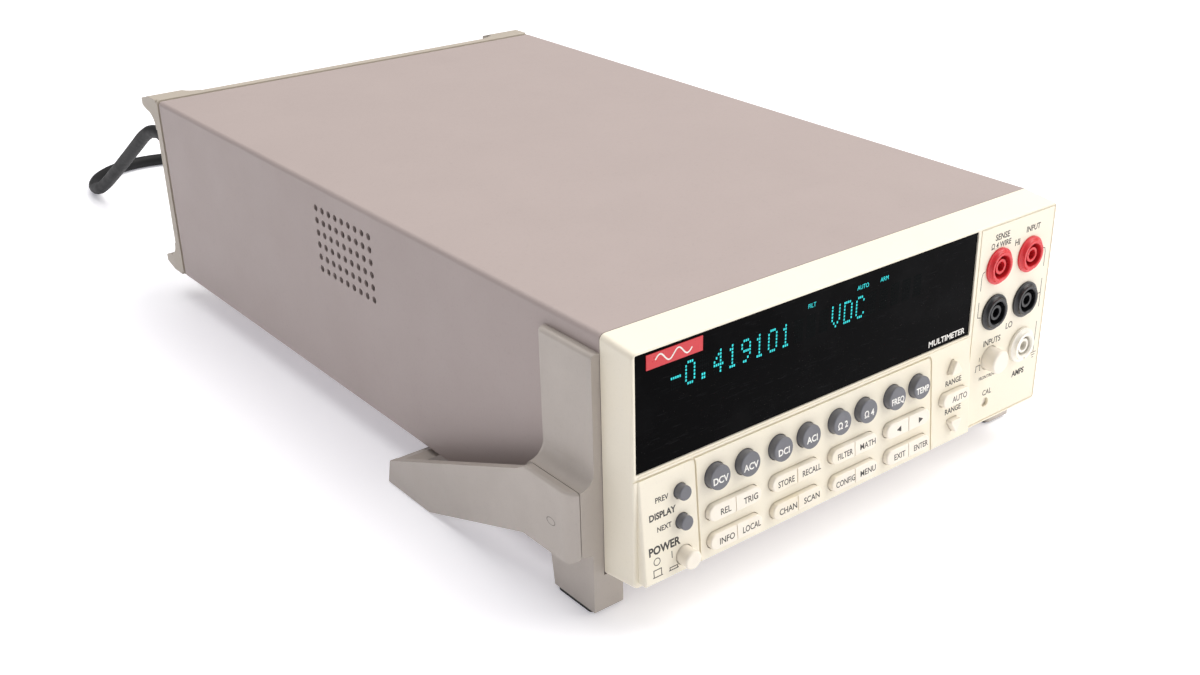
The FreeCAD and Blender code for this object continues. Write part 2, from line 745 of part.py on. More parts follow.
def display():
    """Window, vacuum-fluorescent tube, the board behind them and the key mat."""
    gap = 0.2
    plate = box("window_plate",
                (S["window_left"] + gap, front_face + S["window_sink"], S["window_low"] + gap),
                (S["window_right"] - gap, window_seat, S["window_high"] - gap))
    keep("display_window", fillet("display_window", plate, 0.5, lambda edge: along(Y_AXIS, edge)))
    ledge = S["window_ledge"]
    tube = box("tube_glass", (S["window_left"] + ledge + 2, window_seat + 0.8, S["window_low"] + ledge + 1),
               (30, board_front, S["window_high"] - ledge - 1))
    keep("vfd_tube", fillet("vfd_tube", tube, 1.2,
                            lambda edge: all(v.Point.y < board_front.value - 1 for v in edge.Vertexes)))
    board = new_body("display_board_plate")
    low = bezel_inside_low + 1
    top = bezel_inside_top - 1
    tab_right = S["cal_across"] + 6
    tab_top = S["cal_height"] + 6
    outline = [(-101, low), (tab_right, low), (tab_right, tab_top), (57, tab_top), (57, top), (-101, top)]
    pad(board, "display_board_pad", "XZ_Plane", outline, -(board_front + S["board"]), S["board"])
    rod_way = Round(3.6, S["power_across"], S["power_height"])
    pocket(board, "rod_way_board", "XZ_Plane", rod_way, -board_front, S["board"] + 1)
    pad(board, "cable_socket", "XZ_Plane", rectangle(-30, 70, 10, 78), -(board_front + 9), 9 - S["board"] + 0.2)
    keep("display_board", board)
    mat = new_body("key_mat_block")
    low = S["panel_low"] + 3.2
    high = S["panel_high"] - 1.4
    behind = (hidden_top + S["flange_thick"] + S["key_stroke"] + 0.3) * 1.005
    outline = [(board_front - 0.1, low), (board_front - 0.1, high),
               (panel_face(high) + behind, high), (panel_face(low) + behind, low)]
    pad(mat, "key_mat_pad", "YZ_Plane", outline, -97, 152)
    way = rod("rod_way_mat", 3.6, (S["power_across"], front_face - 6, S["power_height"]), 30)
    keep("keypad_mat", cut("keypad_mat", mat, [way]))


# ------------------------------------------------------------------ buttons with long travel
def power_button():
    """Latching button; its rod reaches the switch behind the display board."""
    face = panel_face(S["power_height"]) - S["power_out"]
    head = rod("power_head", S["power_radius"], (S["power_across"], face, S["power_height"]),
               S["power_out"] + S["panel_wall"] + 2)
    rounded = fillet("power_head_round", head, 0.7,
                     lambda edge: all(abs(v.Point.y - face.value) < 1e-4 for v in edge.Vertexes))
    stem = rod("power_stem", 2.0, (S["power_across"], face + 3, S["power_height"]),
               -half_long - face + 8.5)
    keep("power_button", fuse("power_button", [rounded, stem]))
    body = box("power_switch_case", (S["power_across"] - 7, -half_long + 6, chassis_floor),
               (S["power_across"] + 7, -half_long + 32, S["power_height"] + 7))
    bore = rod("power_switch_bore", 2.3, (S["power_across"], -half_long + 5, S["power_height"]), 16)
    keep("power_switch", cut("power_switch", body, [bore]))


def inputs_button():
    face = front_face - S["inputs_out"]
    place_at = (S["inputs_across"], face, S["amps_height"])
    head = rod("inputs_head", S["inputs_radius"], place_at, S["inputs_out"] + S["bezel_wall"] + 2)
    rounded = fillet("inputs_head_round", head, 0.8,
                     lambda edge: all(abs(v.Point.y - face.value) < 1e-4 for v in edge.Vertexes))
    stem = rod("inputs_stem", 2.0, (S["inputs_across"], face + 3, S["amps_height"]),
               -half_long - face + 4)
    keep("inputs_button", fuse("inputs_button", [rounded, stem]))
    low = (S["inputs_across"] - 8, -half_long + 3, S["amps_height"] - 6)
    high = (S["inputs_across"] + 8, -half_long + 32, S["amps_height"] + 6)
    bore = rod("inputs_switch_bore", 2.3, (S["inputs_across"], -half_long + 2, S["amps_height"]),
               6 + S["inputs_stroke"])
    keep("inputs_switch", cut("inputs_switch", box("inputs_switch_case", low, high), [bore]))


def cal_button():
    """Small button reached through a hole; it presses a dome on the display board's tab."""
    back = front_face + S["bezel_wall"] + 0.4
    cap = rod("cal_cap", S["cal_hole"] - 0.3, (S["cal_across"], front_face + 1.2, S["cal_height"]), 8)
    flange = rod("cal_flange", S["cal_hole"] + 0.8, (S["cal_across"], back, S["cal_height"]), 1)
    keep("cal_button", fuse("cal_button", [cap, flange]))


# ------------------------------------------------------------------ jacks
def jack_body(name):
    """Shrouded jack: flange, shank, well, and a collar round the contact. Face at y = 0."""
    out = S["jack_out"]
    deep = S["jack_deep"]
    hole = S["plug_radius"] + S["contact_wall"]
    lip = S["contact_depth"] - out
    soft = S["jack_round"]
    outline = [(hole, deep), (S["jack_shank"], deep), (S["jack_shank"], 0), (S["jack_flange"], 0),
               (S["jack_flange"], soft - out), (S["jack_flange"] - soft, -out, soft, 1),
               (S["jack_well"] + 0.3, -out), (S["jack_well"], 0.3 - out),
               (S["jack_well"], deep - 2), (S["jack_collar"], deep - 2),
               (S["jack_collar"], 1 - out), (S["plug_radius"], 1 - out), (S["plug_radius"], lip), (hole, lip)]
    body = new_body(name)
    turned(body, name + "_turned", outline)
    return body


def contact_body(name):
    """Brass tube for a 4 mm plug, closed behind, with a tail to solder to."""
    out = S["jack_out"]
    deep = S["jack_deep"]
    inner = S["plug_radius"]
    outer = inner + S["contact_wall"]
    lip = S["contact_depth"] - out
    outline = [(inner, lip), (inner, deep + 0.5), (0, deep + 0.5), (0, deep + 9), (1.5, deep + 9),
               (1.5, deep + 2), (outer, deep + 2), (outer, lip)]
    body = new_body(name)
    turned(body, name + "_turned", outline)
    return body


def jacks():
    contacts = []
    for row, height in (("hi", S["jack_upper"]), ("lo", S["jack_lower"])):
        for side, across in (("sense", S["jack_left"]), ("input", S["jack_right"])):
            label = "%s_%s_jack" % (side, row)
            keep(label, place(jack_body(label), across, front_face, height))
            contacts.append(place(contact_body("%s_%s_contact" % (side, row)), across, front_face, height))
    keep("jack_contacts", group("jack_contacts", contacts))


def amps_jack():
    """Fuse carrier that also takes a test plug; a quarter turn in its holder frees it."""
    out = S["jack_out"]
    hole = S["plug_radius"]
    carrier_radius = 4.9
    face = -out - 0.6
    soft = S["jack_round"]
    outline = [(0, 24), (carrier_radius, 24), (carrier_radius, -0.3), (S["amps_radius"], -0.3),
               (S["amps_radius"], face + soft), (S["amps_radius"] - soft, face, soft, 1),
               (S["amps_well"] + 0.5, face), (S["amps_well"], -out), (S["amps_well"], 10),
               (S["jack_collar"], 10), (S["jack_collar"], 0.4 - out), (hole, 0.4 - out), (hole, 14), (0, 14)]
    carrier = new_body("amps_fuse_carrier")
    turned(carrier, "amps_carrier_turned", outline)
    pocket(carrier, "coin_slot", "XZ_Plane", rectangle(-0.6, -9, 0.6, -S["amps_well"] - 0.6),
           -face, 1.0)
    place(carrier, S["amps_across"], front_face, S["amps_height"])
    keep("amps_fuse_carrier", carrier)
    ring = [(carrier_radius + 0.1, 26), (S["jack_shank"], 26), (S["jack_shank"], 0),
            (S["jack_shank"] + 0.6, 0), (S["jack_shank"] + 0.6, -0.2), (carrier_radius + 0.1, -0.2)]
    holder = new_body("amps_fuse_holder")
    turned(holder, "amps_holder_turned", ring)
    keep("amps_fuse_holder", place(holder, S["amps_across"], front_face, S["amps_height"]))


# ------------------------------------------------------------------ case
def case_sleeve():
    """Rectangular tube with a block of vent holes through both sides."""
    wall = S["sleeve_wall"]
    outside = box("sleeve_outside", (-half_wide, -half_long, S["foot_high"]), (half_wide, half_long, case_top))
    inside = box("sleeve_inside", (wall - half_wide, -half_long - 1, S["foot_high"] + wall),
                 (half_wide - wall, half_long + 1, case_top - wall))
    outer = fillet("sleeve_outside_round", outside, S["case_edge"], lambda edge: along(Y_AXIS, edge))
    inner = fillet("sleeve_inside_round", inside, S["case_edge"] - wall, lambda edge: along(Y_AXIS, edge))
    vents = []
    for col in range(VENT_COLUMNS):
        for row in range(VENT_ROWS):
            spot = (-half_wide - 1, S["vent_first"] + S["vent_pitch"] * col,
                    S["vent_top"] - S["vent_pitch"] * row)
            vents.append(rod("vent_%d_%d" % (col, row), S["vent_radius"], spot, S["case_wide"] + 2, "x"))
    holes = group("vent_holes", vents)
    tube = cut("sleeve_tube", outer, [inner])
    keep("case_sleeve", cut("case_sleeve", tube, [holes]))


def chassis():
    """Tray with low side walls, pillars for the boards and tabs for the rear screws."""
    wide = inner_half - 0.6
    low = inner_low + 0.3
    back = half_long - 0.3
    front = -half_long + 5.5
    pieces = [box("tray_floor", (-wide, front, low), (wide, back, chassis_floor))]
    for name, side in SIDES:
        inside = wide - S["sheet"]
        edges = (-wide, -inside) if side < 0 else (inside, wide)
        pieces.append(box("tray_wall_" + name, (edges[0], front, low), (edges[1], back, low + 26)))
        pieces.append(box("screw_tab_" + name, (half_wide * side - 12 * side - 3, back - 8, chassis_floor),
                          (half_wide * side - 12 * side + 3, back, chassis_floor + 14)))
    for number, (across, along_y, tall) in enumerate(pillars()):
        pieces.append(rod("pillar_%d" % number, 3, (across, along_y, chassis_floor - 0.5), tall + 0.5, "z"))
    threads = [rod("screw_thread_%d" % number, 1.5, (across, back - 9, height), 12)
               for number, (across, height) in enumerate(screw_spots())]
    keep("chassis", cut("chassis", fuse("chassis_solid", pieces), threads))


def pillars():
    """Pillars on the chassis: place across, place along, height. Tall ones carry the shield."""
    stand = S["board_stand"]
    shield = stand + 24
    spots = [(-24, -130, stand), (94, -120, shield), (-24, 140, stand), (94, 140, stand),
             (-24, 0, shield), (94, 40, shield)]
    return spots


def pillar_ways(name, base_low):
    """Holes in the digital board where the tall pillars pass."""
    ways = []
    for number, (across, along_y, tall) in enumerate(pillars()):
        if tall.value > S["board_stand"].value:
            ways.append(rod("%s_way_%d" % (name, number), 3.6, (across, along_y, base_low - 1), 4, "z"))
    return ways


def boards():
    stand = chassis_floor + S["board_stand"]
    top = stand + S["board"]
    plate = box("digital_plate", (-30, -145, stand), (100, 150, top))
    bare = cut("digital_bare", plate, pillar_ways("digital", stand))
    chips = [bare]
    for number, spot in enumerate(((0, -100), (40, -100), (0, -60), (40, -60), (60, 90))):
        chips.append(box("chip_%d" % number, (spot[0], spot[1], top - 0.2), (spot[0] + 24, spot[1] + 12, top + 3.5)))
    for number in range(3):
        chips.append(rod("capacitor_%d" % number, 7, (-10 + 22 * number, 125, top - 0.2), 22, "z"))
    keep("digital_board", fuse("digital_board", chips))
    shield_low = chassis_floor + S["board_stand"] + 24
    shield_out = box("shield_out", (-32, -135, shield_low), (98, 55, shield_low + 30))
    shield_in = box("shield_in", (-31, -134, shield_low + 1), (97, 54, shield_low + 31))
    keep("analog_shield", cut("analog_shield", shield_out, [shield_in]))
    base = shield_low + 1
    pieces = [box("analog_plate", (-29, -132, base + 3), (95, 52, base + 3 + S["board"]))]
    for number, spot in enumerate(((-22, -125), (88, -125), (-22, 45), (88, 45))):
        pieces.append(rod("analog_post_%d" % number, 2.5, (spot[0], spot[1], base), 3.2, "z"))
    for number in range(5):
        pieces.append(box("relay_%d" % number, (-15 + 20 * number, -110, base + 4), (0 + 20 * number, -88, base + 15)))
    for number in range(4):
        pieces.append(box("converter_%d" % number, (-15 + 26 * number, -30, base + 4), (3 + 26 * number, -12, base + 8)))
    keep("analog_board", fuse("analog_board", pieces))


def transformer():
    """Laminated core with a winding on its middle leg."""
    low = chassis_floor
    core = box("core", (-96, 75, low), (-50, 127, low + 52))
    rounded = fillet("core_round", core, 1.5, lambda edge: along(X_AXIS, edge))
    winding = box("winding", (-102, 87, low + 10), (-44, 115, low + 42))
    soft = fillet("winding_round", winding, 5, lambda edge: along(X_AXIS, edge))
    keep("transformer", fuse("transformer", [rounded, soft]))


# ------------------------------------------------------------------ ears, feet and handle
def ear(name, side):
    """Upper slab, flare, thick pivot block and foot in one outline, drawn along the case."""
    slab = (half_wide + S["ear_slab"]) * side
    thick = (half_wide + S["ear_thick"]) * side
    foot = (half_wide + S["foot_out"]) * side
    inner = (half_wide - S["foot_in"]) * side
    case = half_wide * side
    flare = (S["ear_thick"] - S["ear_slab"])
    pad_top = S["pad_thick"]
    outline = [(case, S["ear_top"]), (slab, S["ear_top"]), (slab, S["flare_top"]),
               (thick, S["flare_top"] - flare + 0.2, flare + 0.05, -side * -1),
               (thick, S["ear_under"]), (foot, S["ear_under"]), (foot, pad_top), (inner, pad_top),
               (inner, S["foot_high"]), (case, S["foot_high"])]
    label = name + "_ear"
    body = new_body(label)
    pad(body, label + "_pad", "XZ_Plane", outline, half_long - S["ear_long"], S["ear_long"])
    doc.recompute()
    rear = (S["ear_long"] - half_long).value
    front = (-half_long).value
    round_off(body, label + "_back", S["ear_slab"] - 0.2,
              lambda edge: along(Z_AXIS, edge) and abs(edge.Vertexes[0].Point.y - rear) < 1e-4
              and abs(edge.Vertexes[0].Point.x - slab.value) < 1e-4)
    round_off(body, label + "_toe", 1.2,
              lambda edge: along(Z_AXIS, edge) and abs(edge.Vertexes[0].Point.y - front) < 1e-4
              and abs(edge.Vertexes[0].Point.x - inner.value) < 1e-4)
    round_off(body, label + "_top", 1.6,
              lambda edge: along(Y_AXIS, edge) and abs(edge.Vertexes[0].Point.z - S["ear_top"].value) < 1e-4
              and abs(edge.Vertexes[0].Point.x - slab.value) < 1e-4)
    round_off(body, label + "_under", 1.5,
              lambda edge: along(Y_AXIS, edge) and abs(edge.Vertexes[0].Point.z - S["ear_under"].value) < 1e-4)
    bore = Round(S["pivot_radius"] + S["pivot_play"], pivot_y, S["pivot_height"])
    deep = S["pivot_deep"] + 0.4
    start = half_wide + S["ear_thick"] if side > 0 else -(half_wide + S["ear_thick"]) + deep
    pocket(body, label + "_bore", "YZ_Plane", bore, start, deep)
    top_back = S["foot_long"] - half_long
    low_back = top_back - S["foot_taper"]
    wedge = [(low_back, 0), (S["ear_long"] - half_long + 1, 0), (S["ear_long"] - half_long + 1, S["ear_under"]),
             (top_back, S["ear_under"])]
    start = half_wide + S["ear_thick"] + 1 if side > 0 else 1 - (half_wide - S["foot_in"])
    pocket(body, label + "_heel", "YZ_Plane", wedge, start, S["ear_thick"] + S["foot_in"] + 2)
    keep(label, body)


def feet():
    """Rear feet under the case, and the rubber pads under all four feet."""
    rear = []
    pads = []
    for name, side in SIDES:
        spot = (half_wide * side - 32 * side, half_long - 22)
        base = cone_up("rear_foot_" + name, 8.5, 9.5, (spot[0], spot[1], S["pad_thick"]),
                       S["foot_high"] - S["pad_thick"])
        rear.append(base)
        pads.append(rod("rear_pad_" + name, 7.5, (spot[0], spot[1], 0), S["pad_thick"], "z"))
        inner = (half_wide - S["foot_in"] + S["pad_inset"]) * side
        outer = (half_wide + S["foot_out"] - S["pad_inset"]) * side
        low, high = (outer, inner) if side < 0 else (inner, outer)
        pad_block = box("front_pad_block_" + name, (low, -half_long + 2, 0),
                        (high, S["foot_long"] - S["foot_taper"] - half_long - 0.8, S["pad_thick"]))
        pads.append(fillet("front_pad_" + name, pad_block, 2, lambda edge: along(Z_AXIS, edge)))
    keep("rear_feet", group("rear_feet", rear))
    keep("rubber_pads", group("rubber_pads", pads))


def cone_up(name, low_radius, high_radius, start, length):
    thing = doc.addObject("Part::Cone", name)
    thing.setExpression("Radius1", size(low_radius).text)
    thing.setExpression("Radius2", size(high_radius).text)
    thing.setExpression("Height", size(length).text)
    return place(thing, *start)


def handle():
    """Two arms outside the ears, stub shafts into them, and a bar that folds under the case."""
    body = new_body("handle")
    inner = half_wide + S["ear_thick"] + S["fit_gap"]
    front = -half_long
    end = S["bar_back"] - half_long
    floor = S["floor_gap"]
    hub_low = S["pivot_height"] * 2 - S["flare_low"] + 0.2
    bar_top = floor + S["bar_high"]
    outline = [(front + 4, hub_low, 4, 1), (front + 29, hub_low), (end - 30, floor), (end, floor),
               (end - 2.3, floor + 10.3), (end - 3, floor + 10.5), (front + 31, S["flare_low"] - 3),
               (front + 26, S["flare_low"]), (front, S["flare_low"]), (front, hub_low + 4)]
    bar = [(end - S["bar_wide"], floor), (end - 0.3, floor), (end - 2.6, floor + 10.3),
           (end - 8.6, bar_top), (end - S["bar_wide"], bar_top)]
    pad(body, "arm_right", "YZ_Plane", outline, inner, S["arm_thick"])
    pad(body, "cross_bar", "YZ_Plane", bar, -inner - 1, (inner + 1) * 2)
    pad(body, "arm_left", "YZ_Plane", outline, -inner - S["arm_thick"], S["arm_thick"])
    for name, side in SIDES:
        knee = inner * side
        web = [(knee, end - S["bar_wide"] - 10), (knee, end - S["bar_wide"] + 2),
               (knee - 6 * side, end - S["bar_wide"] + 2)]
        pad(body, "knee_" + name, "XY_Plane", web, floor, S["bar_high"] - 0.5)
        stub = Round(S["pivot_radius"], pivot_y, S["pivot_height"])
        start = inner - S["pivot_deep"] if side > 0 else -inner - 0.5
        pad(body, "stub_" + name, "YZ_Plane", stub, start, S["pivot_deep"] + 0.5)
        outer = (inner + S["arm_thick"]) * side
        plan = [(outer + 1 * side, front - 1), (outer - 4 * side, front - 1),
                (outer - 3.2 * side, front), (outer, front + 6, 7, side), (outer + 1 * side, front + 6)]
        pocket(body, "hub_curve_" + name, "XY_Plane", plan, S["flare_low"] + 5, 60)
    doc.recompute()
    far = (inner + S["arm_thick"]).value
    hub_top = S["flare_low"].value
    round_off(body, "hub_edges", 1.2,
              lambda edge: along(Y_AXIS, edge) and abs(abs(edge.Vertexes[0].Point.x) - far) < 1e-4
              and abs(edge.Vertexes[0].Point.z - hub_top) < 1e-4)
    keep("handle", body)


# ------------------------------------------------------------------ rear
def rear_bezel():
    """Frame round the rear panel with a stand-off at each corner."""
    start = half_long + S["fit_gap"]
    step = half_long + S["frame_groove"] + S["fit_gap"]
    neck = box("frame_neck", (1 - half_wide, start, S["foot_high"] + 1), (half_wide - 1, step + 1, case_top - 1))
    neck_round = fillet("frame_neck_round", neck, S["case_edge"] - 1, lambda edge: along(Y_AXIS, edge))
    block = box("frame_block", (-half_wide, step, S["foot_high"]), (half_wide, rear_face, case_top))
    block_round = fillet("frame_block_round", block, S["case_edge"], lambda edge: along(Y_AXIS, edge))
    soft_rim = fillet("frame_rim_round", block_round, 1.2,
                      lambda edge: all(abs(v.Point.y - rear_face.value) < 1e-4 for v in edge.Vertexes))
    outside = [neck_round, soft_rim]
    wide = S["standoff_wide"]
    high = S["standoff_high"]
    for name, side in SIDES:
        for level, up in (("low", -1), ("high", 1)):
            label = "standoff_%s_%s" % (name, level)
            plan = new_body(label + "_plan")
            edge = half_wide * side
            inner = edge - wide * side
            outline = [(edge, rear_face - 4), (edge, rear_tip - 2.5),
                       (edge - 2.5 * side, rear_tip, 2.6, side), (inner + 1.5 * side, rear_tip),
                       (inner, rear_tip - 1.5, 1.5, side), (inner, rear_face + 8),
                       (inner - 8 * side, rear_face, 8, -side), (inner - 8 * side, rear_face - 4)]
            base = S["foot_high"] if up < 0 else case_top - high - 12
            pad(plan, label + "_plan_pad", "XY_Plane", outline, base, high + 12)
            profile = new_body(label + "_profile")
            edge_z = S["foot_high"] if up < 0 else case_top
            inner_z = edge_z - high * up
            shape = [(rear_face - 4, edge_z), (rear_face + 5, edge_z), (rear_tip - 3, edge_z - 2.2 * up),
                     (rear_tip, edge_z - 4.6 * up, 3.2, -up), (rear_tip - 4, inner_z + 1.0 * up),
                     (rear_face + 8, inner_z), (rear_face, inner_z - 8 * up, 8, up),
                     (rear_face - 4, inner_z - 8 * up)]
            low_x = -half_wide - 1 if side < 0 else half_wide - wide - 12
            pad(profile, label + "_profile_pad", "YZ_Plane", shape, low_x, wide + 13)
            common = doc.addObject("Part::Common", label)
            common.Base = plan
            common.Tool = profile
            outside.append(common)
    solid = fuse("frame_solid", outside)
    wall = S["frame_wall"]
    rabbet = box("frame_rabbet", (wall - half_wide, start - 1, S["foot_high"] + wall),
                 (half_wide - wall, rear_panel_front + S["sheet"], case_top - wall))
    rim = S["frame_rim"]
    opening = box("frame_opening", (rim - half_wide, rear_panel_front, S["foot_high"] + rim),
                  (half_wide - rim, rear_face + 1, case_top - rim))
    keep("rear_bezel", cut("rear_bezel", solid, [rabbet, opening]))


def rear_panel():
    """Sheet with cut-outs for the inlet, jacks and connectors, and a flange on the chassis."""
    wall = S["frame_wall"] + 0.2
    back = rear_panel_front + S["sheet"]
    plate = box("rear_plate", (wall - half_wide, rear_panel_front, chassis_floor),
                (half_wide - wall, back, case_top - wall))
    flange = box("rear_flange", (-60, half_long - 12, chassis_floor), (60, back, chassis_floor + S["sheet"]))
    tools = [box("inlet_cutout", (S["inlet_across"] - 13.2, half_long - 1, S["inlet_height"] - 25.2),
                 (S["inlet_across"] + 13.2, back + 1, S["inlet_height"] + 11.2)),
             box("bus_cutout", (-12, half_long - 1, 78), (50, back + 1, 90))]
    for name, across, height, radius in rear_round_holes():
        tools.append(rod(name, radius, (across, half_long - 1, height), 12))
    keep("rear_panel", cut("rear_panel", fuse("rear_sheet", [plate, flange]), tools))


def rear_jack_spots():
    return [(62, 60), (81, 60), (62, 41), (81, 41)]


def coax_spots():
    return [(-45, 82), (-45, 62)]


def screw_spots():
    """Rear screws: place across and height."""
    return [((half_wide - 12) * side, chassis_floor + 8) for name, side in SIDES]


def rear_round_holes():
    holes = []
    for number, (across, height) in enumerate(rear_jack_spots()):
        holes.append(("rear_jack_hole_%d" % number, across, height, S["jack_shank"] + 0.05))
    for number, (across, height) in enumerate(coax_spots()):
        holes.append(("coax_hole_%d" % number, across, height, 4.85))
    for number, (across, height) in enumerate(screw_spots()):
        holes.append(("screw_hole_%d" % number, across, height, 1.7))
    return holes


def rear_fittings():
    back = rear_panel_front + S["sheet"]
    jacks_behind = []
    for number, (across, height) in enumerate(rear_jack_spots()):
        jack = rear_jack("rear_jack_%d" % number)
        jacks_behind.append(place(jack, across, back, height))
    keep("rear_jacks", group("rear_jacks", jacks_behind))
    fittings = []
    for number, (across, height) in enumerate(coax_spots()):
        shell = rod("coax_shell_%d" % number, 4.8, (across, back - 6, height), 17)
        nut = rod("coax_collar_%d" % number, 7, (across, back, height), 2)
        bore = rod("coax_bore_%d" % number, 3.9, (across, back + 3, height), 9)
        pin = rod("coax_pin_%d" % number, 0.7, (across, back + 2, height), 7)
        empty = cut("coax_hollow_%d" % number, fuse("coax_outer_%d" % number, [shell, nut]), [bore])
        fittings.append(fuse("coax_%d" % number, [empty, pin]))
    body = box("bus_body", (-11.8, back - 8, 78.2), (49.8, back + 6, 89.8))
    flange = box("bus_flange", (-19, back, 77), (57, back + 2, 91))
    slot = box("bus_slot", (-8, back + 1, 81), (46, back + 7, 87))
    tongue = box("bus_tongue", (-6, back, 83), (44, back + 5, 85))
    fittings.append(fuse("bus_socket", [cut("bus_shell", fuse("bus_outer", [body, flange]), [slot]), tongue]))
    keep("rear_connectors", group("rear_connectors", fittings))


def rear_jack(name):
    """Shrouded jack for the rear panel; its face is at y = 0 and it points to +Y."""
    out = S["jack_out"]
    inner = S["plug_radius"]
    outline = [(0, -16), (S["jack_shank"], -16), (S["jack_shank"], 0), (S["jack_flange"], 0),
               (S["jack_flange"], out), (S["jack_well"], out), (S["jack_well"], -13),
               (S["jack_collar"], -13), (S["jack_collar"], out - 1), (inner, out - 1), (inner, -15), (0, -15)]
    body = new_body(name)
    turned(body, name + "_turned", outline)
    return body


def inlet():
    """Mains inlet in the rear panel, with the fuse drawer under the socket well."""
    x = S["inlet_across"]
    z = S["inlet_height"]
    back = rear_panel_front + S["sheet"]
    body = box("inlet_body", (x - 13, back - 31, z - 25), (x + 13, back, z + 11))
    flange = box("inlet_flange", (x - 15.5, back, z - 27), (x + 15.5, back + 2, z + 13))
    well = box("inlet_well", (x - 12, back - 15, z - 8.2), (x + 12, back + 3, z + 8.2))
    slot = box("drawer_slot", (x - 11, back - 28, z - 23), (x + 11, back + 3, z - 11.5))
    hollow = cut("inlet_hollow", fuse("inlet_block", [body, flange]), [well, slot])
    pieces = [hollow]
    for number, (dx, dz) in enumerate(((-7, -2), (7, -2), (0, 2))):
        pieces.append(box("inlet_pin_%d" % number, (x + dx - 1, back - 17, z + dz - 2),
                          (x + dx + 1, back - 3, z + dz + 2)))
    keep("power_inlet", fuse("power_inlet", pieces))
    tray = box("drawer_block", (x - 10.8, back - 27, z - 22.8), (x + 10.8, back + 2, z - 11.7))
    room = box("drawer_room", (x - 8.8, back - 25, z - 20.8), (x + 8.8, back - 3, z - 10))
    grip = box("drawer_grip", (x - 4, back + 1, z - 21.5), (x + 4, back + 3, z - 19.8))
    keep("fuse_drawer", cut("fuse_drawer", tray, [room, grip]))


def screws():
    pieces = []
    back = rear_panel_front + S["sheet"]
    for number, (across, height) in enumerate(screw_spots()):
        shank = rod("screw_shank_%d" % number, 1.5, (across, back - 10, height), 10.5)
        head = rod("screw_head_%d" % number, 3, (across, back, height), 1.8)
        slot = rod("screw_socket_%d" % number, 1.1, (across, back + 0.9, height), 2)
        pieces.append(cut("screw_%d" % number, fuse("screw_blank_%d" % number, [shank, head]), [slot]))
    keep("screws", group("screws", pieces))


# ------------------------------------------------------------------ mains cord
# The cord leaves the connector level, comes down behind the case to the table, then turns right
# and goes into the coil of spare cord. These points are chosen by hand.
CORD_START_Y = 236.0
CORD_ROUTE = [
    (-82.0, CORD_START_Y, 68.0),
    (-82.0, 250.0, 67.0),
    (-82.0, 264.0, 61.2),
    (-82.0, 280.0, 51.0),
    (-82.0, 303.0, 36.7),
    (-82.2, 326.0, 22.3),
    (-82.8, 343.0, 11.6),
    (-83.0, 357.0, 5.4),
    (-79.9, 372.0, 3.9),
    (-71.1, 385.1, 3.8),
    (-57.9, 394.0, 3.8),
    (-42.3, 397.2, 3.8),
    (-26.6, 394.2, 3.8),
    (0.0, 383.0, 3.9),
    (22.0, 373.6, 3.9),
    (45.0, 364.2, 3.9),
]
COIL_CENTRE = (30.0, 325.0)
COIL_HIGH = 21.0
ARC_SHARE = 0.48


def cord_path(points):
    """Straight runs joined by tangent arcs as large as the runs allow."""
    spots = [vector(*point) for point in points]
    edges = []
    last = spots[0]
    for before, here, after in zip(spots, spots[1:], spots[2:]):
        back = (before - here)
        ahead = (after - here)
        turn = math.pi - back.getAngle(ahead)
        reach = ARC_SHARE * min(back.Length, ahead.Length)
        radius = reach / math.tan(turn / 2)
        print("cord turn %.1f deg, radius %.1f mm" % (math.degrees(turn), radius))
        enter = here + back.normalize() * reach
        leave = here + ahead.normalize() * reach
        inward = (back + ahead).normalize()
        centre_gap = math.sqrt(radius ** 2 + reach ** 2)
        middle = here + inward * (centre_gap - radius)
        edges.append(Part.LineSegment(last, enter).toShape())
        edges.append(Part.Arc(enter, middle, leave).toShape())
        last = leave
    edges.append(Part.LineSegment(last, spots[-1]).toShape())
    return Part.Wire(edges)


def power_cord():
    """Tube along the cord's route; its radius comes from the sheet."""
    path = cord_path(CORD_ROUTE)
    radius = S["cord_radius"].value
    start = vector(*CORD_ROUTE[0])
    heading = vector(*CORD_ROUTE[1]) - start
    ring = Part.Wire([Part.Circle(start, heading, radius).toShape()])
    tube = path.makePipeShell([ring], True, False)
    expected = math.pi * radius ** 2 * path.Length
    print("cord length %.1f mm, volume ratio %.4f" % (path.Length, tube.Volume / expected))
    thing = doc.addObject("Part::Feature", "power_cord")
    thing.Shape = tube
    keep("power_cord", thing)


def cord_coil():
    """Outer shape of the coiled spare cord, two turns wide and three high."""
    outer = S["coil_radius"] + S["cord_radius"] * 2
    inner = S["coil_radius"] - S["cord_radius"] * 2
    solid = rod("coil_outer", outer, (COIL_CENTRE[0], COIL_CENTRE[1], 0.3), COIL_HIGH, "z")
    hole = rod("coil_inner", inner, (COIL_CENTRE[0], COIL_CENTRE[1], -1), COIL_HIGH + 3, "z")
    ring = cut("coil_ring", solid, [hole])
    keep("cord_coil", fillet("cord_coil", ring, 2.5, lambda edge: isinstance(edge.Curve, Part.Circle)))


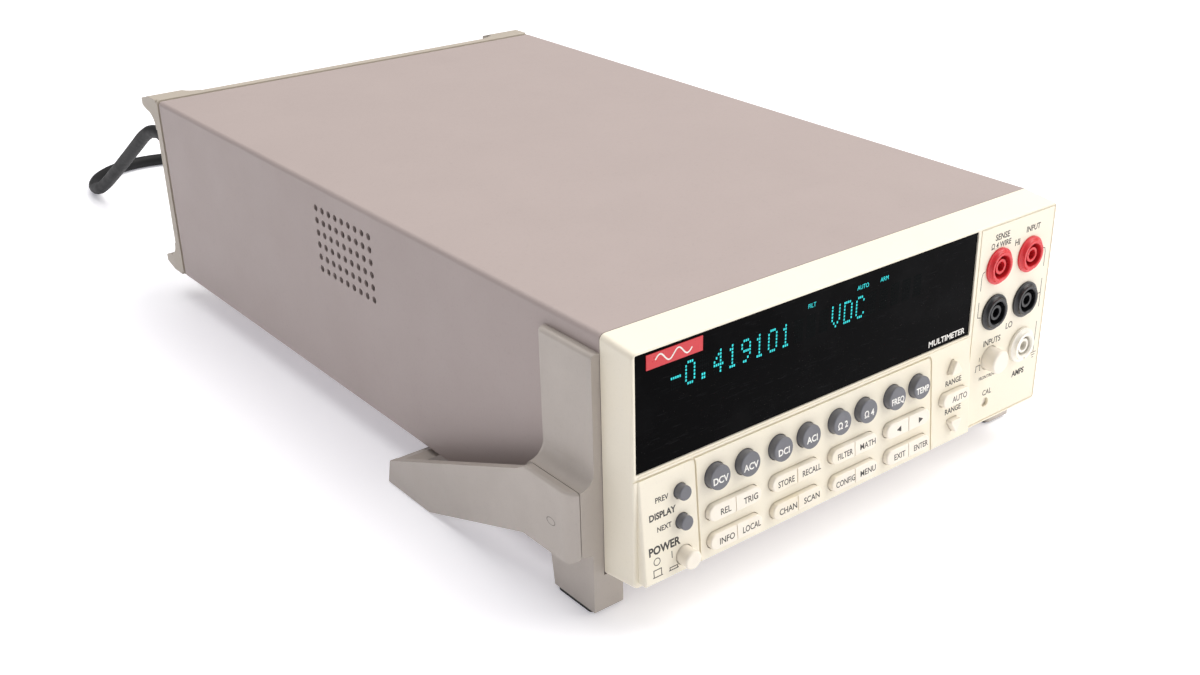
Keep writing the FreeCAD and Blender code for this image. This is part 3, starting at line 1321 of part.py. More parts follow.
def cord_socket():
    """Connector in the inlet, with a tapered strain relief to where the cord starts."""
    x = S["inlet_across"]
    z = S["inlet_height"]
    back = rear_panel_front + S["sheet"]
    nose_block = box("socket_nose_block", (x - 11.7, back - 14, z - 7.9), (x + 11.7, back + 3, z + 7.9))
    pins = []
    for number, (dx, dz) in enumerate(((-7, -2), (7, -2), (0, 2))):
        pins.append(box("socket_way_%d" % number, (x + dx - 1.1, back - 15, z + dz - 2.1),
                        (x + dx + 1.1, back - 2, z + dz + 2.1)))
    nose = cut("socket_nose", nose_block, pins)
    body = box("socket_body", (x - 13.5, back + 2.3, z - 10), (x + 13.5, back + 28, z + 10))
    body_round = fillet("socket_body_round", body, 4, lambda edge: along(Y_AXIS, edge))
    relief = cone("socket_relief", 6.5, 4.3, (x, back + 27, z), CORD_START_Y - back - 27)
    keep("cord_socket", fuse("cord_socket", [nose, body_round, relief]))


def cord_plug():
    """Mains plug on the table beside the coil, at the end of the last turn."""
    x = COIL_CENTRE[0] + S["coil_radius"] + S["cord_radius"]
    y = COIL_CENTRE[1] - 16
    z = 10.3
    relief = cone("plug_relief", 6.5, 4.3, (x, y - 24, z), 24)
    body = box("plug_body", (x - 13, y - 60, 0.3), (x + 13, y - 23, 2 * z - 0.3))
    body_round = fillet("plug_body_round", body, 4.5, lambda edge: along(Y_AXIS, edge))
    pieces = [relief, body_round]
    for number, side in enumerate((-1, 1)):
        pieces.append(box("plug_blade_%d" % number, (x + 6.35 * side - 0.75, y - 77, z - 3.2),
                          (x + 6.35 * side + 0.75, y - 59, z + 3.2)))
    pieces.append(rod("plug_earth", 2.4, (x, y - 80, z + 5), 21))
    keep("cord_plug", fuse("cord_plug", pieces))


# ------------------------------------------------------------------ build and write
function_keys()
page_keys()
rocker_keys()
range_keys()
front_bezel()
display()
power_button()
inputs_button()
cal_button()
jacks()
amps_jack()
case_sleeve()
chassis()
boards()
transformer()
for side_name, side_sign in SIDES:
    ear(side_name, side_sign)
feet()
handle()
rear_bezel()
rear_panel()
rear_fittings()
inlet()
screws()
power_cord()
cord_coil()
cord_socket()
cord_plug()
doc.recompute()

for item in doc.Objects:
    for state in ("Invalid", "Error"):
        if state in item.State:
            raise ValueError("%s is %s" % (item.Label, state))
for item in parts:
    if item.Shape.isNull() or not item.Shape.isValid():
        raise ValueError("%s has no valid shape" % item.Label)
    if not item.Shape.Solids:
        raise ValueError("%s has no solid" % item.Label)

os.makedirs("parts", exist_ok=True)
for item in parts:
    item.Shape.exportStep("parts/%s.step" % item.Label)
print("%d sub-parts written" % len(parts))
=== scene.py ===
import json
import math

import bpy
import numpy as np
from mathutils import Matrix, Vector


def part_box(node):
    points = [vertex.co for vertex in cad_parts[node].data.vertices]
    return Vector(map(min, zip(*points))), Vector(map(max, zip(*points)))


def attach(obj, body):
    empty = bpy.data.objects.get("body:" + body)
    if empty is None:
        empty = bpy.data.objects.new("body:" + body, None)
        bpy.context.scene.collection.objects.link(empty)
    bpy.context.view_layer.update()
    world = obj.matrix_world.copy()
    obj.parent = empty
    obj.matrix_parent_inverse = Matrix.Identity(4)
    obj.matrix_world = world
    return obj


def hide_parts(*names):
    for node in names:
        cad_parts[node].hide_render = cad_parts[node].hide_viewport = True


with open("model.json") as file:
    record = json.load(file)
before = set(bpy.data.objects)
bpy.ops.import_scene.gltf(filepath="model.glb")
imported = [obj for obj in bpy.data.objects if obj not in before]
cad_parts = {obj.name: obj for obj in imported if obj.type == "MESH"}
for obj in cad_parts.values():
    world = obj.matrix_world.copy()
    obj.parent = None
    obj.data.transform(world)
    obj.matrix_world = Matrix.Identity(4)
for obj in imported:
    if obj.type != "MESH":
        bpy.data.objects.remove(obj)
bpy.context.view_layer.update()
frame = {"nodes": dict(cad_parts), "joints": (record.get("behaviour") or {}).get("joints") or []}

bl_info = {
    "name": "Bench multimeter looks",
    "version": (1, 0, 0),
    "blender": (4, 5, 0),
    "location": "3D View > Sidebar > Multimeter",
    "description": "Finishes, legends, display and mains cord of a half-rack bench multimeter",
    "category": "Object",
}

MM = 0.001
CASE_BODY = "case"


def linear(code):
    """sRGB hex colour as linear red, green, blue and alpha."""
    values = [int(code[place:place + 2], 16) / 255 for place in (1, 3, 5)]
    bent = [v / 12.92 if v <= 0.04045 else ((v + 0.055) / 1.055) ** 2.4 for v in values]
    return (*bent, 1.0)


# ------------------------------------------------------------------ settings
def colour(code, name, description):
    return bpy.props.FloatVectorProperty(name=name, description=description, subtype="COLOR", size=4,
                                         min=0, max=1, default=linear(code))


class MeterColours(bpy.types.PropertyGroup):
    """Colours of the finishes."""
    sleeve: colour("#A89B97", "Sleeve", "Textured paint on the sheet-metal sleeve")
    bezel: colour("#ECE5D3", "Front bezel", "Aged cream ABS of the front")
    grey: colour("#B4ACA4", "Ears and handle", "Grey polycarbonate of ears and handle")
    rear: colour("#B0A79A", "Rear bezel", "Beige-grey ABS of the rear frame")
    rocker: colour("#EEE7DA", "Cream keys", "Cream ABS of the rocker keys")
    dark_key: colour("#68696F", "Dark keys", "Dark grey ABS of the function keys")
    ink: colour("#3B3835", "Ink", "Screen-printed legends")
    key_ink: colour("#E9E7E2", "Key ink", "Pad-printed legends on the dark keys")
    badge: colour("#C9262F", "Badge", "Red plate in the window's corner")
    glow: colour("#3FD3D6", "Glow", "Lit phosphor of the display")


class MeterSizes(bpy.types.PropertyGroup):
    """Sizes that a user would change."""
    ink_thick: bpy.props.FloatProperty(name="Ink thickness", unit="LENGTH", default=0.00004,
                                       description="How far printed legends stand up")
    cord_thick: bpy.props.FloatProperty(name="Cord diameter", unit="LENGTH", default=0.007,
                                        description="Outer diameter of the mains cord")
    glow_strength: bpy.props.FloatProperty(name="Glow strength", default=1.35, min=0,
                                           description="Brightness of the lit phosphor")


def colours():
    return bpy.context.scene.meter_colours


def sizes():
    return bpy.context.scene.meter_sizes


# ------------------------------------------------------------------ node and material helpers
MIX_FIRST, MIX_SECOND, MIX_COLOUR = 6, 7, 2


def add(tree, kind, inputs=None, **settings):
    """Adds a shader node. Inputs are numbers, colours or another node's output to link."""
    node = tree.nodes.new("ShaderNode" + kind)
    for key, value in settings.items():
        setattr(node, key, value)
    for key, value in (inputs or {}).items():
        if isinstance(value, bpy.types.NodeSocket):
            tree.links.new(value, node.inputs[key])
        else:
            node.inputs[key].default_value = value
    return node


def blank(name):
    """A material with an empty node tree, its object coordinates and its output."""
    material = bpy.data.materials.new(name)
    material.use_nodes = True
    tree = material.node_tree
    tree.nodes.clear()
    place = add(tree, "TexCoord").outputs["Object"]
    return material, tree, place


def close(material, tree, shader):
    add(tree, "OutputMaterial", {"Surface": shader.outputs[0]})
    return material


def per_metre(size_mm):
    """Noise scale whose features are about size_mm across, on coordinates in metres."""
    return 1000.0 / size_mm


def shade(rgba, factor):
    return tuple(channel * factor for channel in rgba[:3]) + (1.0,)


def noise(tree, place, size_mm, detail, rough):
    return add(tree, "TexNoise", {"Vector": place, "Scale": per_metre(size_mm), "Detail": detail,
                                  "Roughness": rough}).outputs["Fac"]


def spread(tree, value, low, high, to_low, to_high):
    """Value stretched from low..high to to_low..to_high, and kept inside."""
    return add(tree, "MapRange", {"Value": value, "From Min": low, "From Max": high,
                                  "To Min": to_low, "To Max": to_high}).outputs["Result"]


def mixed(tree, share, first, second):
    """Colour between first and second; the colour sockets go by number, as names repeat."""
    node = add(tree, "Mix", {"Factor": share}, data_type="RGBA", blend_type="MIX")
    for number, value in ((MIX_FIRST, first), (MIX_SECOND, second)):
        if isinstance(value, bpy.types.NodeSocket):
            tree.links.new(value, node.inputs[number])
        else:
            node.inputs[number].default_value = value
    return node.outputs[MIX_COLOUR]


def grained(name, base, grain_mm, depth_mm, rough, rough_swing=0.08, mottle=0.05, mottle_mm=40.0,
            speck=0.0, speck_mm=1.2, stain=None, stain_mm=60.0, stain_share=0.0, fixed=None):
    """Surface with a grain in its height, slow mottling in its colour, fine specks and stains.
    Height is noise of the grain's size; colour is the base, darkened and lightened by slower noise."""
    material, tree, place = blank(name)
    slow = noise(tree, place, mottle_mm, 4.0, 0.6)
    tone = mixed(tree, spread(tree, slow, 0.3, 0.7, 0.0, 1.0), shade(base, 1 - mottle),
                 shade(base, 1 + mottle))
    if speck:
        dots = spread(tree, noise(tree, place, speck_mm, 1.0, 0.4), 0.62, 0.72, 0.0, speck)
        tone = mixed(tree, dots, tone, shade(base, 0.55))
    if stain:
        patch = spread(tree, noise(tree, place, stain_mm, 5.0, 0.65), 0.48, 0.72, 0.0, stain_share)
        tone = mixed(tree, patch, tone, stain)
    grain = noise(tree, place, grain_mm, 3.0, 0.55)
    wear = noise(tree, place, mottle_mm * 0.35, 5.0, 0.6)
    bump = add(tree, "Bump", {"Height": grain, "Distance": depth_mm * MM, "Strength": 1.0})
    inputs = {"Base Color": tone, "Normal": bump.outputs["Normal"],
              "Roughness": spread(tree, wear, 0.3, 0.7, rough - rough_swing, rough + rough_swing)}
    inputs.update(fixed or {})
    return close(material, tree, add(tree, "BsdfPrincipled", inputs))


# ------------------------------------------------------------------ materials
def textured_paint():
    """Polyester powder paint on steel sheet: a fine orange-peel grain, dull, with faint rubbed patches."""
    return grained("textured_powder_paint", colours().sleeve, grain_mm=1.1, depth_mm=0.035, rough=0.52,
                   rough_swing=0.05, mottle=0.012, mottle_mm=55.0, speck=0.10, speck_mm=0.9,
                   stain=shade(colours().sleeve, 1.08), stain_mm=90.0, stain_share=0.2)


def aged_abs():
    """Injection-moulded ABS gone slightly yellow: fine spark-eroded grain, satin."""
    yellow = linear("#E8DBB8")
    return grained("aged_cream_abs", colours().bezel, grain_mm=0.7, depth_mm=0.02, rough=0.46,
                   rough_swing=0.06, mottle=0.02, mottle_mm=35.0, speck=0.05, speck_mm=1.0,
                   stain=yellow, stain_mm=70.0, stain_share=0.2)


def grey_polycarbonate():
    """Moulded polycarbonate: coarser grain that takes rubs, satin."""
    return grained("grey_polycarbonate", colours().grey, grain_mm=0.8, depth_mm=0.03, rough=0.50,
                   rough_swing=0.08, mottle=0.035, mottle_mm=30.0, speck=0.08, speck_mm=1.1,
                   stain=shade(colours().grey, 1.18), stain_mm=45.0, stain_share=0.4)


def beige_abs():
    """Moulded ABS of the rear frame, slightly browner than the ears."""
    return grained("beige_abs", colours().rear, grain_mm=0.8, depth_mm=0.025, rough=0.5,
                   rough_swing=0.07, mottle=0.035, mottle_mm=35.0, speck=0.07, speck_mm=1.0,
                   stain=shade(colours().rear, 1.15), stain_mm=50.0, stain_share=0.35)


def cream_key_abs():
    """Smooth moulded ABS of the rocker keys, polished a little by fingers."""
    return grained("cream_key_abs", colours().rocker, grain_mm=0.5, depth_mm=0.008, rough=0.36,
                   rough_swing=0.08, mottle=0.02, mottle_mm=14.0, speck=0.03, speck_mm=0.8,
                   stain=linear("#E7D9B4"), stain_mm=22.0, stain_share=0.3)


def dark_key_abs():
    """Dark moulded ABS, rubbed smoother and lighter in random patches."""
    return grained("dark_key_abs", colours().dark_key, grain_mm=0.5, depth_mm=0.012, rough=0.42,
                   rough_swing=0.1, mottle=0.06, mottle_mm=8.0, speck=0.06, speck_mm=0.7,
                   stain=shade(colours().dark_key, 1.35), stain_mm=10.0, stain_share=0.25)


def polyamide(name, base):
    """Glossy moulded polyamide of the safety jacks, with faint patches of dust."""
    return grained(name, base, grain_mm=0.6, depth_mm=0.008, rough=0.32, rough_swing=0.08, mottle=0.04,
                   mottle_mm=9.0, speck=0.08, speck_mm=0.6, stain=shade(base, 1.3), stain_mm=12.0,
                   stain_share=0.12)


def black_pvc(name="black_pvc"):
    """Soft moulded PVC: matt black with a bloom of dust and a very fine grain."""
    return grained(name, linear("#141516"), grain_mm=0.6, depth_mm=0.012, rough=0.6, rough_swing=0.08,
                   mottle=0.12, mottle_mm=18.0, speck=0.1, speck_mm=0.8, stain=linear("#262728"),
                   stain_mm=25.0, stain_share=0.2, fixed={"Specular IOR Level": 0.25})


def rubber():
    """Moulded rubber of the pads: black, matt and grainy."""
    return grained("black_rubber", linear("#17181A"), grain_mm=0.5, depth_mm=0.03, rough=0.72,
                   rough_swing=0.06, mottle=0.1, mottle_mm=8.0, speck=0.1, speck_mm=0.7,
                   stain=linear("#3A3937"), stain_mm=12.0, stain_share=0.3)


def sheet_steel():
    """Zinc-plated steel sheet: rolled grain, cloudy passivation with a slight yellow cast."""
    return grained("zinc_plated_steel", linear("#B9B6A8"), grain_mm=0.5, depth_mm=0.008, rough=0.36,
                   rough_swing=0.1, mottle=0.1, mottle_mm=12.0, speck=0.0, speck_mm=1.0,
                   stain=linear("#C9BE93"), stain_mm=24.0, stain_share=0.45, fixed={"Metallic": 1.0})


def painted_panel():
    """Smooth enamel on the rear panel, pale warm grey."""
    return grained("rear_panel_enamel", linear("#B8B2A6"), grain_mm=0.9, depth_mm=0.012, rough=0.42,
                   rough_swing=0.06, mottle=0.03, mottle_mm=40.0, speck=0.05, speck_mm=1.0,
                   stain=linear("#C8C3B8"), stain_mm=60.0, stain_share=0.3)


def nickel():
    """Nickel-plated brass of contacts and connector shells: bright, with fine tarnish."""
    return grained("nickel_plate", linear("#C9C4B8"), grain_mm=0.4, depth_mm=0.004, rough=0.24,
                   rough_swing=0.1, mottle=0.08, mottle_mm=5.0, speck=0.0, speck_mm=1.0,
                   stain=linear("#A9A192"), stain_mm=7.0, stain_share=0.12, fixed={"Metallic": 1.0})


def solder_mask():
    """Circuit-board laminate under green solder mask: glossy, with a faint weave."""
    return grained("green_solder_mask", linear("#1E5A34"), grain_mm=0.6, depth_mm=0.01, rough=0.3,
                   rough_swing=0.08, mottle=0.1, mottle_mm=9.0, speck=0.12, speck_mm=0.7,
                   stain=linear("#3C7A4A"), stain_mm=15.0, stain_share=0.3)


def silicone():
    """Moulded silicone of the key mat: soft grey, matt."""
    return grained("grey_silicone", linear("#6B6C6E"), grain_mm=0.6, depth_mm=0.02, rough=0.6,
                   rough_swing=0.05, mottle=0.05, mottle_mm=12.0)


def core_steel():
    """Varnished transformer laminations: dark, with brownish patches and darker specks."""
    return grained("varnished_laminations", linear("#4A453F"), grain_mm=0.5, depth_mm=0.03, rough=0.4,
                   rough_swing=0.1, mottle=0.15, mottle_mm=6.0, speck=0.15, speck_mm=0.8,
                   stain=linear("#6A5A40"), stain_mm=12.0, stain_share=0.4, fixed={"Metallic": 0.6})


def smoked_acrylic():
    """Smoked acrylic over a black mask: polished, with hairline scratches and a film of dust."""
    material, tree, place = blank("smoked_acrylic")
    turned = add(tree, "Mapping", {"Vector": place, "Rotation": (0.0, 0.5, 0.0), "Scale": (1.0, 1.0, 14.0)})
    hairs = spread(tree, noise(tree, turned.outputs["Vector"], 9.0, 6.0, 0.7), 0.60, 0.66, 0.0, 1.0)
    smears = spread(tree, noise(tree, place, 28.0, 5.0, 0.65), 0.5, 0.75, 0.0, 1.0)
    tone = mixed(tree, spread(tree, hairs, 0.0, 1.0, 0.0, 0.03), linear("#030304"), linear("#77787C"))
    tone = mixed(tree, spread(tree, smears, 0.0, 1.0, 0.0, 0.012), tone, linear("#8B8C90"))
    height = add(tree, "Bump", {"Height": hairs, "Distance": 0.000004, "Strength": 0.4})
    inputs = {"Base Color": tone, "Roughness": spread(tree, smears, 0.0, 1.0, 0.06, 0.2), "IOR": 1.49,
              "Normal": height.outputs["Normal"], "Specular IOR Level": 0.02}
    return close(material, tree, add(tree, "BsdfPrincipled", inputs))


def phosphor(name, base, strength):
    """Zinc-oxide phosphor behind glass: an even blue-green glow, a little uneven from dot to dot."""
    material, tree, place = blank(name)
    uneven = spread(tree, noise(tree, place, 2.5, 2.0, 0.5), 0.35, 0.65, 0.0, 1.0)
    tone = mixed(tree, uneven, shade(base, 0.82), shade(base, 1.08))
    inputs = {"Base Color": shade(base, 0.05), "Emission Color": tone, "Emission Strength": strength,
              "Roughness": 0.6, "Specular IOR Level": 0.02}
    return close(material, tree, add(tree, "BsdfPrincipled", inputs))


def printed_ink(name, base):
    """Screen-printed ink: flat and dull, thinner where it has rubbed."""
    return grained(name, base, grain_mm=0.4, depth_mm=0.003, rough=0.55, rough_swing=0.08, mottle=0.12,
                   mottle_mm=3.0, speck=0.0, speck_mm=1.0, stain=shade(base, 1.5), stain_mm=5.0,
                   stain_share=0.3)


# ------------------------------------------------------------------ mesh helpers
def mesh_piece(name, points, faces, material, body=CASE_BODY, smooth=True):
    """Object at the origin from an array of points in metres and a list of faces."""
    mesh = bpy.data.meshes.new(name)
    mesh.from_pydata([tuple(point) for point in np.asarray(points, float)], [], faces)
    mesh.validate()
    mesh.polygons.foreach_set("use_smooth", np.full(len(mesh.polygons), smooth))
    mesh.materials.append(material)
    piece = bpy.data.objects.new(name, mesh)
    bpy.context.scene.collection.objects.link(piece)
    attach(piece, body)
    return piece


def joined(shapes):
    """Several (points, faces) as one."""
    points = []
    faces = []
    count = 0
    for some, their in shapes:
        points.append(np.asarray(some, float))
        faces.extend([tuple(number + count for number in face) for face in their])
        count += len(some)
    return np.concatenate(points), faces


def grid_faces(rows, columns, wrap_columns=True, wrap_rows=False):
    """Quads of a grid of rows by columns, its columns joined up when wrapped."""
    row_count = rows if wrap_rows else rows - 1
    column_count = columns if wrap_columns else columns - 1
    r, c = np.meshgrid(np.arange(row_count), np.arange(column_count), indexing="ij")
    r2, c2 = (r + 1) % rows, (c + 1) % columns
    quads = np.stack([r * columns + c, r * columns + c2, r2 * columns + c2, r2 * columns + c], -1)
    return [tuple(quad) for quad in quads.reshape(-1, 4)]


def prism(outline, thick):
    """Flat outline given round its edge, thickened to both sides of its plane: (across, up, out)."""
    outline = np.asarray(outline, float)
    count = len(outline)
    layers = [np.column_stack([outline, np.full(count, level)]) for level in (-thick / 2, thick / 2)]
    sides = [(k, (k + 1) % count, count + (k + 1) % count, count + k) for k in range(count)]
    return np.concatenate(layers), sides + [tuple(range(count, 2 * count)), tuple(range(count))[::-1]]


def stroke(points, width, thick):
    """Line of constant width: one closed band whose edges are the points moved half a width to each
    side along the mean of the neighbouring steps' normals, lengthened by one over its cosine."""
    points = np.asarray(points, float)
    along = np.diff(points, axis=0)
    along /= np.linalg.norm(along, axis=1)[:, None]
    left = np.column_stack([-along[:, 1], along[:, 0]])
    mean = np.vstack([left[:1], left]) + np.vstack([left, left[-1:]])
    mean /= np.linalg.norm(mean, axis=1)[:, None]
    reach = width / 2 / np.einsum("ij,ij->i", mean, np.vstack([left, left[-1:]]))
    offset = mean * reach[:, None]
    count = len(points)
    rows = [np.column_stack([points + side * offset, np.full(count, level)])
            for side, level in ((-1, thick / 2), (1, thick / 2), (1, -thick / 2), (-1, -thick / 2))]
    ends = [tuple(row * count for row in range(4)), tuple(row * count + count - 1 for row in range(4))[::-1]]
    return np.concatenate(rows), grid_faces(4, count, False, True) + ends


def ring(radius, width, thick, centre=(0, 0), around=32):
    """Flat ring: a band between two circles, thickened; every quarter of its section is a grid row."""
    angle = np.linspace(0, 2 * np.pi, around, endpoint=False)
    rows = []
    for r, level in ((radius, thick / 2), (radius - width, thick / 2),
                     (radius - width, -thick / 2), (radius, -thick / 2)):
        rows.append(np.column_stack([centre[0] + r * np.cos(angle), centre[1] + r * np.sin(angle),
                                     np.full(around, level)]))
    return np.concatenate(rows), grid_faces(4, around, True, True)


CAP_HEIGHT = 0.73                   # height of the font's capitals over its size


def word(text, height, thick, weight=0.0, squeeze=1.0):
    """A word as a thin closed shape centred on 0, its capitals height tall."""
    curve = bpy.data.curves.new("word", "FONT")
    curve.body = text
    curve.size = 1.0
    curve.resolution_u = 3
    curve.offset = weight
    curve.extrude = 0.5
    holder = bpy.data.objects.new("word", curve)
    mesh = bpy.data.meshes.new_from_object(holder)
    points = np.empty(len(mesh.vertices) * 3)
    mesh.vertices.foreach_get("co", points)
    points = points.reshape(-1, 3)
    faces = [tuple(face.vertices) for face in mesh.polygons]
    bpy.data.objects.remove(holder)
    bpy.data.meshes.remove(mesh)
    bpy.data.curves.remove(curve)
    low, high = points.min(0), points.max(0)
    scale = height / (CAP_HEIGHT + 2 * weight)
    points[:, 0] = (points[:, 0] - (low[0] + high[0]) / 2) * scale * squeeze
    points[:, 1] = (points[:, 1] - CAP_HEIGHT / 2) * scale
    points[:, 2] *= thick
    return points, faces


def on_plane(shape, origin, across, up):
    """Shape from (across, up, out) to the object's frame; out is across cross up."""
    points, faces = shape
    across = np.asarray(across, float)
    up = np.asarray(up, float)
    out = np.cross(across, up)
    placed = (np.asarray(origin, float) + points[:, :1] * across + points[:, 1:2] * up
              + points[:, 2:3] * out)
    return placed, faces


def moved(shape, across, up):
    points, faces = shape
    return points + np.array([across, up, 0.0]), faces


# ------------------------------------------------------------------ places read from the frame
def joint(name):
    return [item for item in frame["joints"] if item["name"] == name][0]


PRESS = np.array(joint("dc_volts_press")["axis"], float)
PANEL_OUT = -PRESS / np.linalg.norm(PRESS)
RIGHT = np.array([1.0, 0.0, 0.0])
UP = np.array([0.0, 0.0, 1.0])
PANEL_UP = np.cross(PANEL_OUT, RIGHT)


def node_box(node):
    low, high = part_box(node)
    return np.array(low), np.array(high)


def centre_of(node):
    low, high = node_box(node)
    return (low + high) / 2


JACK_OUT = 2.2 * MM                 # how far a jack stands out of the input panel
PANEL_STEP = 3.9 * MM               # how far the control panel's foot stands out of it
INPUT_FACE = node_box("sense_hi_jack")[0][1] + JACK_OUT
PANEL_LOW_Z = 18.5 * MM
PANEL_LOW_Y = INPUT_FACE - PANEL_STEP


def panel_point(x, z):
    """Point on the tilted control panel at a place across and a height, in metres."""
    slide = (z - PANEL_LOW_Z) / PANEL_UP[2]
    return np.array([x, PANEL_LOW_Y, PANEL_LOW_Z]) + PANEL_UP * slide


def face_of_key(node):
    """Middle of a key's outer face: the foremost point along the press direction."""
    points = np.array([vertex.co for vertex in frame["nodes"][node].data.vertices])
    middle = centre_of(node)
    reach = (points @ PANEL_OUT).max() - middle @ PANEL_OUT
    return middle + PANEL_OUT * reach


# ------------------------------------------------------------------ pieces: stage
CAMERA_AT = (-0.347678, -0.488788, 0.290099)
CAMERA_RIGHT = (0.763431, -0.645889, 0.000244)
CAMERA_UP = (0.282216, 0.333915, 0.899364)
CAMERA_BACK = (-0.580971, -0.686533, 0.437202)
CAMERA_LENS = 42.903
CAMERA_SENSOR = 36.0
CAMERA_SHIFT = (-0.05875, 0.01705)


def place_camera():
    """Camera at the front left, a little above the instrument."""
    camera = bpy.data.cameras.new("camera")
    camera.lens = CAMERA_LENS
    camera.sensor_width = CAMERA_SENSOR
    camera.shift_x, camera.shift_y = CAMERA_SHIFT
    camera.clip_start = 0.01
    camera.clip_end = 50.0
    holder = bpy.data.objects.new("camera", camera)
    columns = (CAMERA_RIGHT, CAMERA_UP, CAMERA_BACK, CAMERA_AT)
    holder.matrix_world = Matrix([[column[row] for column in columns] for row in range(3)] + [[0, 0, 0, 1]])
    bpy.context.scene.collection.objects.link(holder)
    bpy.context.scene.camera = holder


LIGHTS_AIM = (0.0, 0.0, 0.05)


def area_light(name, at, size, power, tint):
    """Square soft light that points at the middle of the instrument."""
    light = bpy.data.lights.new(name, "AREA")
    light.shape = "SQUARE"
    light.size = size
    light.energy = power
    light.color = linear(tint)[:3]
    holder = bpy.data.objects.new(name, light)
    holder.location = at
    holder.rotation_euler = (Vector(LIGHTS_AIM) - Vector(at)).to_track_quat("-Z", "Y").to_euler()
    bpy.context.scene.collection.objects.link(holder)


FLOOR_HALF = 12.0


def build_stage():
    """Pale table top, camera, three soft lights and a dim even surround."""
    half = FLOOR_HALF
    points = [(-half, -half, 0), (half, -half, 0), (half, half, 0), (-half, half, 0)]
    mesh = bpy.data.meshes.new("floor")
    mesh.from_pydata(points, [], [(0, 1, 2, 3)])
    floor = bpy.data.objects.new("floor", mesh)
    bpy.context.scene.collection.objects.link(floor)
    glow = {"Emission Color": linear("#F6F7FF"), "Emission Strength": 0.3}
    mesh.materials.append(grained("pale_table_top", linear("#F8F8FA"), grain_mm=3.0, depth_mm=0.01,
                                  rough=0.6, rough_swing=0.05, mottle=0.01, mottle_mm=300.0, fixed=glow))
    place_camera()
    area_light("front_light", (1.1, -1.1, 0.75), 0.9, 10.5, "#FFFEFA")
    area_light("key_light", (0.9, -0.3, 1.7), 1.4, 23.0, "#FFFCF8")
    area_light("top_light", (0.0, 0.6, 2.0), 1.8, 26.0, "#FFFDFC")
    world = bpy.data.worlds.new("studio")
    bpy.context.scene.world = world
    world.use_nodes = True
    world.node_tree.nodes["Background"].inputs["Color"].default_value = linear("#F7F4F6")
    world.node_tree.nodes["Background"].inputs["Strength"].default_value = 0.37
    bpy.context.scene.view_settings.view_transform = "Standard"


# ------------------------------------------------------------------ pieces: finishes of CAD nodes
KEYS_DARK = ("dc_volts_key", "ac_volts_key", "dc_amps_key", "ac_amps_key", "ohms_two_wire_key",
             "ohms_four_wire_key", "frequency_key", "temperature_key", "prev_key", "next_key")
# Each rocker, its left word and place in mm, its right word and place in mm
ROCKERS = (("rel_trig_rocker", "REL", -4.9, "TRIG", 6.5),
           ("store_recall_rocker", "STORE", -5.7, "RECALL", 6.7),
           ("filter_math_rocker", "FILTER", -5.3, "MATH", 6.5),
           ("cursor_rocker", "<", -5.6, ">", 6.4),
           ("info_local_rocker", "INFO", -4.9, "LOCAL", 6.4),
           ("chan_scan_rocker", "CHAN", -5.2, "SCAN", 6.4),
           ("config_menu_rocker", "CONFIG", -5.3, "MENU", 6.5),
           ("exit_enter_rocker", "EXIT", -5.2, "ENTER", 6.6))


def finish_nodes(material, *nodes):
    for node in nodes:
        mesh = frame["nodes"][node].data
        mesh.materials.clear()
        mesh.materials.append(material)


def build_case():
    finish_nodes(textured_paint(), "case_sleeve")
    finish_nodes(aged_abs(), "front_bezel")
    grey = grey_polycarbonate()
    finish_nodes(grey, "left_ear", "right_ear", "handle", "rear_feet")
    finish_nodes(rubber(), "rubber_pads")


def build_inside():
    finish_nodes(sheet_steel(), "chassis", "analog_shield", "screws")
    finish_nodes(solder_mask(), "display_board", "digital_board", "analog_board")
    finish_nodes(silicone(), "keypad_mat")
    finish_nodes(core_steel(), "transformer")
    finish_nodes(polyamide("switch_polyamide", linear("#26272A")), "inputs_switch", "power_switch")
    finish_nodes(smoked_acrylic(), "vfd_tube")


def build_keys():
    dark = dark_key_abs()
    cream = cream_key_abs()
    finish_nodes(dark, *KEYS_DARK)
    finish_nodes(cream, *[row[0] for row in ROCKERS], "range_up_key", "auto_range_key",
                 "range_down_key", "power_button", "inputs_button", "cal_button")


def build_inputs():
    red = polyamide("red_polyamide", linear("#D62A32"))
    black = polyamide("black_polyamide", linear("#1B1C1F"))
    finish_nodes(red, "sense_hi_jack", "input_hi_jack")
    finish_nodes(black, "sense_lo_jack", "input_lo_jack", "rear_jacks")
    finish_nodes(polyamide("white_polyamide", linear("#EFEBE0")), "amps_fuse_carrier", "amps_fuse_holder")
    finish_nodes(nickel(), "jack_contacts")


def build_rear():
    finish_nodes(beige_abs(), "rear_bezel")
    finish_nodes(painted_panel(), "rear_panel")
    finish_nodes(black_pvc("black_inlet"), "power_inlet", "fuse_drawer")
    finish_nodes(nickel(), "rear_connectors")
    rear_legends()
    handle_mark()


REAR_WORDS = (("TRIGGER", -45.0, 91.9), ("OUTPUT", -45.0, 53.2), ("INTERFACE", 19.0, 73.6))


